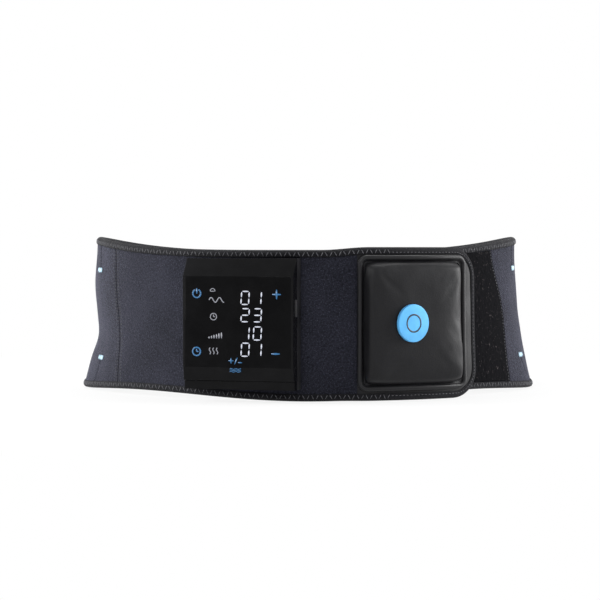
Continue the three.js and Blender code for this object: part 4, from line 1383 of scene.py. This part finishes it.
@dataclass
class ControlUnit:
    """The glossy controller: shells, lens, lit digits and symbols, side button."""

    loop: BeltLoop
    angle: float = -16.2
    width: float = 80 * MM
    height: float = 91 * MM
    bottom: float = 8.7 * MM
    depth: float = 14 * MM
    split: float = 4 * MM
    lens_low: float = 15.5 * MM
    lens_high: float = 78.5 * MM
    lens_side: float = 1.6 * MM
    digit_height: float = 9.9 * MM
    digit_width: float = 6.4 * MM
    stroke: float = 0.9 * MM

    def frame(self) -> Matrix:
        """The unit's own frame: x across, -y outwards, z up from its lower end."""
        origin = self.loop.point(self.angle, self.bottom, 0)
        across = self.loop.point(self.angle + 1, 0, 0) - self.loop.point(self.angle - 1, 0, 0)
        turn = math.atan2(across.y, across.x)
        return Matrix.Translation(origin) @ Matrix.Rotation(turn, 4, "Z")

    def extrude_side(self, shape: Shape, outline: Sequence[tuple[float, float]], width: float) -> None:
        """Extrudes a side outline of (depth, height) points, in millimetres, across a width."""
        ring = [
            shape.bm.verts.new((-width / 2, -depth * MM, height * MM)) for depth, height in outline
        ]
        face = shape.bm.faces.new(ring)
        made = bmesh.ops.extrude_face_region(shape.bm, geom=[face])
        moved = [v for v in made["geom"] if isinstance(v, bmesh.types.BMVert)]
        bmesh.ops.translate(shape.bm, verts=moved, vec=(width, 0, 0))
        bmesh.ops.recalc_face_normals(shape.bm, faces=shape.bm.faces)

    def build(self) -> None:
        """Makes and dresses the unit."""
        self.build_front_shell()
        self.build_lens()
        self.build_back_shell()
        self.build_digits()
        self.build_symbols()
        self.build_button()

    def keep(self, shape: Shape, finish: Finish, node: Optional[str], body: str = "belt") -> bpy.types.Object:
        """Places a finished shape on the belt and hides the imported node it replaces, if one is given."""
        piece = shape.turn(self.frame()).finish(finish.material())
        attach(piece, body)
        if node:
            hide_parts(node)
        return piece

    def build_front_shell(self) -> None:
        """Moulds the front shell with its upper slope, lower hollow and step."""
        outline = [(self.split / MM + 0.3, 0.0), (10.2, 0.0), (10.7, 5.7), (12.3, 6.2)]
        for index in range(7):
            share = index / 6
            outline.append((12.35 + 1.65 * share**1.7, 6.9 + 9.4 * share))
        outline += [(14.0, 78.9), (self.split / MM + 0.9, 91.0), (self.split / MM + 0.3, 91.0)]
        shape = Shape("unit_face_shell")
        self.extrude_side(shape, outline, self.width)
        side = [
            e for e in shape.bm.edges
            if abs(abs(e.verts[0].co.x) - self.width / 2) < 1e-6
            and abs(e.verts[0].co.x - e.verts[1].co.x) < 1e-6
            and max(e.verts[0].co.y, e.verts[1].co.y) < -self.split - 0.35 * MM
        ]
        shape.round(side, 0.8 * MM, 3)
        across = [
            e for e in shape.bm.edges
            if abs(e.verts[0].co.x - e.verts[1].co.x) > 0.9 * self.width - 4 * MM
            and e.calc_face_angle(0) > math.radians(20)
        ]
        shape.round(across, 0.6 * MM, 3)
        sharpen(self.keep(shape, Finish.GLOSS, "unit_front_shell"), 28)

    def build_lens(self) -> None:
        """Sets the flat lens into the face, a hair proud of it."""
        size = (self.width - 2 * self.lens_side, 1.4 * MM, self.lens_high - self.lens_low)
        centre = Vector((0, -self.depth + 0.6 * MM, (self.lens_low + self.lens_high) / 2))
        shape = Shape("lens_plate").block(centre, size, 0.25 * MM, 3)
        sharpen(self.keep(shape, Finish.LENS, "display_lens"), 40)

    def build_back_shell(self) -> None:
        """Moulds the back shell, curved to sit on the strap."""
        shape = Shape("unit_base_shell")
        edge = self.width / 2

        def wall(u: float, v: float) -> Vector:
            turn = v * 4
            side = int(min(3, turn))
            share = turn - side
            corners = [(-edge, 0.0), (edge, 0.0), (edge, self.height), (-edge, self.height)]
            (x0, z0), (x1, z1) = corners[side], corners[(side + 1) % 4]
            x, z = mix(x0, x1, share), mix(z0, z1, share)
            seat = x**2 / (2 * self.loop.radius) + 0.001 * abs(x) - 0.1 * MM
            return Vector((x, mix(seat, -self.split, u), z))

        shape.grid(1, 160, wall)
        bmesh.ops.remove_doubles(shape.bm, verts=shape.bm.verts, dist=0.005 * MM)
        rims = [e for e in shape.bm.edges if e.is_boundary]
        bmesh.ops.holes_fill(shape.bm, edges=rims, sides=0)
        bmesh.ops.triangulate(shape.bm, faces=[f for f in shape.bm.faces if len(f.verts) > 4])
        bmesh.ops.recalc_face_normals(shape.bm, faces=shape.bm.faces)
        sharpen(self.keep(shape, Finish.SHELL, "unit_back_shell"), 30)

    def bar(self, shape: Shape, x: float, z: float, length: float, thick: float, turn: float = 0) -> None:
        """Adds one flat lit bar with pointed ends, lying on the lens."""
        made = bmesh.ops.create_circle(shape.bm, cap_ends=True, segments=6, radius=1)
        scale = Matrix.Diagonal((length / 2, thick / 2 * 1.155, 1, 1))
        face = -self.depth - 0.16 * MM
        place = Matrix.Translation((x, face, z)) @ Matrix.Rotation(math.pi / 2, 4, "X")
        matrix = place @ Matrix.Rotation(turn, 4, "Z") @ scale
        bmesh.ops.transform(shape.bm, matrix=matrix, verts=made["verts"])

    def digit(self, shape: Shape, symbol: str, x: float, z: float) -> None:
        """Adds one seven-segment digit, centred and leaning a little."""
        w, h, t = self.digit_width - self.stroke, self.digit_height - self.stroke, self.stroke
        lean = 0.07
        bars = {
            "a": (0, h / 2, w, 0), "g": (0, 0, w, 0), "d": (0, -h / 2, w, 0),
            "b": (w / 2, h / 4, h / 2, 1), "c": (w / 2, -h / 4, h / 2, 1),
            "f": (-w / 2, h / 4, h / 2, 1), "e": (-w / 2, -h / 4, h / 2, 1),
        }
        for key in SEGMENTS[symbol]:
            dx, dz, length, upright = bars[key]
            turn = math.pi / 2 - lean if upright else 0
            self.bar(shape, x + dx + lean * dz, z + dz, length - 0.45 * MM, t, turn)

    def solid_marks(self, shape: Shape) -> None:
        """Gives the flat marks a little thickness, into the lens."""
        made = bmesh.ops.extrude_face_region(shape.bm, geom=list(shape.bm.faces))
        moved = [v for v in made["geom"] if isinstance(v, bmesh.types.BMVert)]
        bmesh.ops.translate(shape.bm, verts=moved, vec=(0, 0.12 * MM, 0))
        bmesh.ops.recalc_face_normals(shape.bm, faces=shape.bm.faces)

    def build_digits(self) -> None:
        """Lights four rows of two digits."""
        shape = Shape("lit_numbers")
        rows = [("01", 63.7), ("23", 51.8), ("10", 39.3), ("01", 28.0)]
        for text, z in rows:
            for symbol, x in zip(text, (5.6, 14.4)):
                self.digit(shape, symbol, x * MM, z * MM)
        self.solid_marks(shape)
        piece = self.keep(shape, Finish.DIGIT, None)
        piece.data.update()

    def stroke_path(self, shape: Shape, points: Sequence[tuple[float, float]], thick: float) -> None:
        """Draws a symbol's line from short bars, in millimetres."""
        for (x0, z0), (x1, z1) in zip(points, points[1:]):
            length = math.hypot(x1 - x0, z1 - z0) + 0.6 * thick
            turn = math.atan2(z1 - z0, x1 - x0)
            self.bar(shape, (x0 + x1) / 2 * MM, (z0 + z1) / 2 * MM, length * MM, thick * MM, turn)

    def arc(self, x: float, z: float, radius: float, start: float, end: float, steps: int = 14) -> list[tuple[float, float]]:
        """Points of an arc, angles in turns."""
        return [
            (x + radius * math.cos(2 * math.pi * mix(start, end, i / steps)),
             z + radius * math.sin(2 * math.pi * mix(start, end, i / steps)))
            for i in range(steps + 1)
        ]

    def build_symbols(self) -> None:
        """Lights the plain key marks and the small row icons."""
        keys = Shape("lit_key_marks")
        for x, z in ((28.2, 66.2),):
            self.stroke_path(keys, [(x - 3.2, z), (x + 3.2, z)], 1.15)
            self.stroke_path(keys, [(x, z - 3.4), (x, z + 3.4)], 1.15)
        self.stroke_path(keys, [(24.2, 25.4), (30.6, 25.4)], 1.15)
        self.stroke_path(keys, self.arc(-29.6, 66.6, 2.9, 0.33, 1.17), 1.0)
        self.stroke_path(keys, [(-29.6, 66.4), (-29.6, 70.2)], 1.0)
        self.stroke_path(keys, self.arc(-29.8, 26.3, 2.9, 0, 1, 18), 0.95)
        self.stroke_path(keys, [(-29.8, 28.0), (-29.8, 26.3), (-28.4, 26.3)], 0.85)
        self.stroke_path(keys, [(-6.6, 20.2), (-2.8, 20.2)], 0.8)
        self.stroke_path(keys, [(-4.7, 18.3), (-4.7, 22.1)], 0.8)
        self.stroke_path(keys, [(-2.2, 17.6), (0.0, 22.6)], 0.7)
        self.stroke_path(keys, [(0.6, 19.0), (3.2, 19.0)], 0.8)
        for index in range(3):
            wave = [(-5.5 + 0.5 * i, 14.6 - 1.0 * index + 0.3 * math.sin(i * 0.9)) for i in range(17)]
            self.stroke_path(keys, wave, 0.42)
        self.solid_marks(keys)
        self.keep(keys, Finish.KEY, None)
        icons = Shape("lit_row_icons")
        wave = [(-20.6 + 0.6 * i, 62.2 + 1.7 * math.sin(i * 0.62)) for i in range(19)]
        self.stroke_path(icons, wave, 0.7)
        self.stroke_path(icons, self.arc(-17.4, 50.6, 2.3, 0, 1, 16), 0.6)
        self.stroke_path(icons, [(-17.4, 52.0), (-17.4, 50.6), (-16.2, 50.6)], 0.55)
        for index in range(6):
            x = -20.6 + 1.8 * index
            self.stroke_path(icons, [(x, 35.6), (x, 36.6 + 0.62 * index)], 0.95)
        for index in range(3):
            x = -20.0 + 2.6 * index
            rise = [(x + 0.55 * math.sin(i * 0.8), 24.6 + 0.55 * i) for i in range(9)]
            self.stroke_path(icons, rise, 0.6)
        self.stroke_path(icons, self.arc(-18.0, 68.4, 1.7, -0.02, 0.52, 8), 0.55)
        self.stroke_path(icons, [(-19.6, 68.2), (-16.4, 68.2)], 0.5)
        self.solid_marks(icons)
        self.keep(icons, Finish.ICON, None)

    def build_button(self) -> None:
        """Moulds the side button."""
        low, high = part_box("power_button")
        del low, high
        centre = Vector((self.width / 2 - 0.8 * MM, -self.split - 3.9 * MM, 56.5 * MM))
        shape = Shape("side_button").block(centre, (3.6 * MM, 4 * MM, 12 * MM), 0.7 * MM, 4)
        sharpen(self.keep(shape, Finish.SHELL, "power_button", "power_button"), 40)


# ---------------------------------------------------------------- pieces kept from the frame


@dataclass(frozen=True)
class Innards:
    """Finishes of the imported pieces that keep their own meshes."""

    finishes: tuple[tuple[Finish, tuple[str, ...]], ...] = (
        (Finish.SHELL, ("clamp_plate", "battery_case_back", "battery_case_front")),
        (Finish.BOARD, ("circuit_board", "battery_guard_board")),
        (Finish.CHIP, ("controller_chip", "buzzer")),
        (Finish.STEEL, ("power_switch", "charging_port", "clamp_screw_1", "clamp_screw_2",
                        "clamp_screw_3", "clamp_screw_4")),
        (Finish.COPPER, ("touch_spring_mode", "touch_spring_timer", "touch_spring_plus",
                         "touch_spring_minus", "touch_spring_heat", "pulse_transformer",
                         "heater_lead", "battery_lead_strap", "battery_lead_flap")),
        (Finish.FOIL, ("battery_cell_1", "battery_cell_2")),
        (Finish.FILM, ("heating_film",)),
        (Finish.DISPLAY, ("digit_display",)),
        (Finish.ELECTRODE, ("electrode_pad_1", "electrode_pad_2", "electrode_pad_3", "electrode_pad_4")),
    )

    def dress(self) -> None:
        """Gives each node its finish through its material slots."""
        for finish, names in self.finishes:
            for name in names:
                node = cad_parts[name]
                node.data.materials.clear()
                node.data.materials.append(finish.material())


# ---------------------------------------------------------------- studio


@dataclass
class Studio:
    """Plain white room, soft lights and the camera."""

    distance: float = 1.4
    eye_height: float = 0.103
    side_step: float = -0.0063
    focal: float = 1788.0
    picture: float = 600.0
    horizon: float = 253.5
    sensor: float = 36.0

    def build(self, loop: BeltLoop) -> None:
        """Sets the camera, floor, world and lights."""
        self.build_camera(loop)
        self.build_floor()
        self.build_world()
        self.build_lights(loop)
        bpy.context.scene.view_settings.view_transform = "Standard"

    def build_camera(self, loop: BeltLoop) -> None:
        """Stands a long lens level with the belt's upper edge."""
        data = bpy.data.cameras.new("camera")
        data.sensor_width = self.sensor
        data.lens = self.focal / self.picture * self.sensor
        data.clip_start, data.clip_end = 0.05, 20
        camera = bpy.data.objects.new("camera", data)
        pitch = math.atan((self.picture / 2 - self.horizon) / self.focal)
        camera.location = loop.centre + Vector((self.side_step, -self.distance, self.eye_height))
        camera.rotation_euler = (math.pi / 2 - pitch, 0, 0)
        bpy.context.scene.collection.objects.link(camera)
        bpy.context.scene.camera = camera

    def build_floor(self) -> None:
        """Lays a pale floor that keeps a faint shadow on white."""
        g = Graph("floor_paper")
        rays = g.node("LightPath")
        paper = g.noise(g.place(), 40, 3, 0.5)
        g.set(Base_Color=g.blend(g.ramp(paper, 0.3, 0.7), (0.88, 0.88, 0.88), (0.9, 0.9, 0.9)))
        g.set(Roughness=0.9, Specular_IOR_Level=0.1)
        white = g.node("Emission", {"Color": (1, 1, 1, 1), "Strength": 1.0})
        reach = g.node("VectorMath", {0: g.place()}, operation="LENGTH").outputs["Value"]
        share = g.ramp(reach, 0.18, 0.5, 0.82, 1.0)
        sight = g.math("MAXIMUM", rays.outputs["Is Camera Ray"], rays.outputs["Is Glossy Ray"])
        sight = g.math("MAXIMUM", sight, rays.outputs["Is Transmission Ray"])
        seen = g.math("MULTIPLY", sight, share)
        both = g.node("MixShader", {0: seen})
        g.tree.links.new(g.shader.outputs[0], both.inputs[1])
        g.tree.links.new(white.outputs[0], both.inputs[2])
        output = next(n for n in g.tree.nodes if n.type == "OUTPUT_MATERIAL")
        g.tree.links.new(both.outputs[0], output.inputs[0])
        shape = Shape("floor").grid(8, 8, lambda u, v: Vector((1.1 * u - 0.55, 1.1 * v - 0.55, -0.2 * MM)))
        floor = shape.finish(g.material)

    def build_world(self) -> None:
        """White to the eye and in reflections, plain soft grey as light."""
        world = bpy.data.worlds.new("studio")
        bpy.context.scene.world = world
        world.use_nodes = True
        tree = world.node_tree
        back = tree.nodes["Background"]
        rays = tree.nodes.new("ShaderNodeLightPath")
        sight = rays.outputs["Is Camera Ray"]
        for kind in ("Is Glossy Ray", "Is Transmission Ray"):
            either = tree.nodes.new("ShaderNodeMath")
            either.operation = "MAXIMUM"
            tree.links.new(sight, either.inputs[0])
            tree.links.new(rays.outputs[kind], either.inputs[1])
            sight = either.outputs[0]
        scale = tree.nodes.new("ShaderNodeMapRange")
        tree.links.new(sight, scale.inputs[0])
        scale.inputs[3].default_value = 0.2
        scale.inputs[4].default_value = 1.0
        back.inputs[0].default_value = (1, 1, 1, 1)
        tree.links.new(scale.outputs[0], back.inputs[1])

    def lamp(self, name: str, place: Sequence[float], target: Vector, size: Sequence[float], power: float) -> None:
        """Hangs one soft box that looks at the belt."""
        data = bpy.data.lights.new(name, "AREA")
        data.shape = "RECTANGLE"
        data.size, data.size_y = size
        data.energy = power
        lamp = bpy.data.objects.new(name, data)
        lamp.location = place
        lamp.rotation_euler = (target - Vector(place)).to_track_quat("-Z", "Y").to_euler()
        bpy.context.scene.collection.objects.link(lamp)

    def build_lights(self, loop: BeltLoop) -> None:
        """Two side boxes, one above and a weak front fill."""
        target = loop.centre + Vector((0, 0, 0.05))
        self.lamp("left_box", (-1.15, 0.05, 0.4), target, (0.7, 0.8), 20)
        self.lamp("right_box", (1.15, 0.0, 0.4), target, (0.7, 0.8), 20)
        self.lamp("top_box", (0, 0.4, 1.2), target, (1.4, 0.6), 9)
        self.lamp("front_fill", (-0.5, -1.4, 0.9), target, (0.4, 0.2), 7)


def main() -> None:
    """Builds every sub-assembly, then the studio."""
    logging.basicConfig(level=logging.INFO, format="%(relativeCreated)d %(name)s %(message)s")
    loop = BeltLoop()
    Studio().build(loop)
    Strap(loop).build()
    Pouch(loop).build()
    ControlUnit(loop).build()
    Innards().dress()


if __name__ == "__main__":
    main()
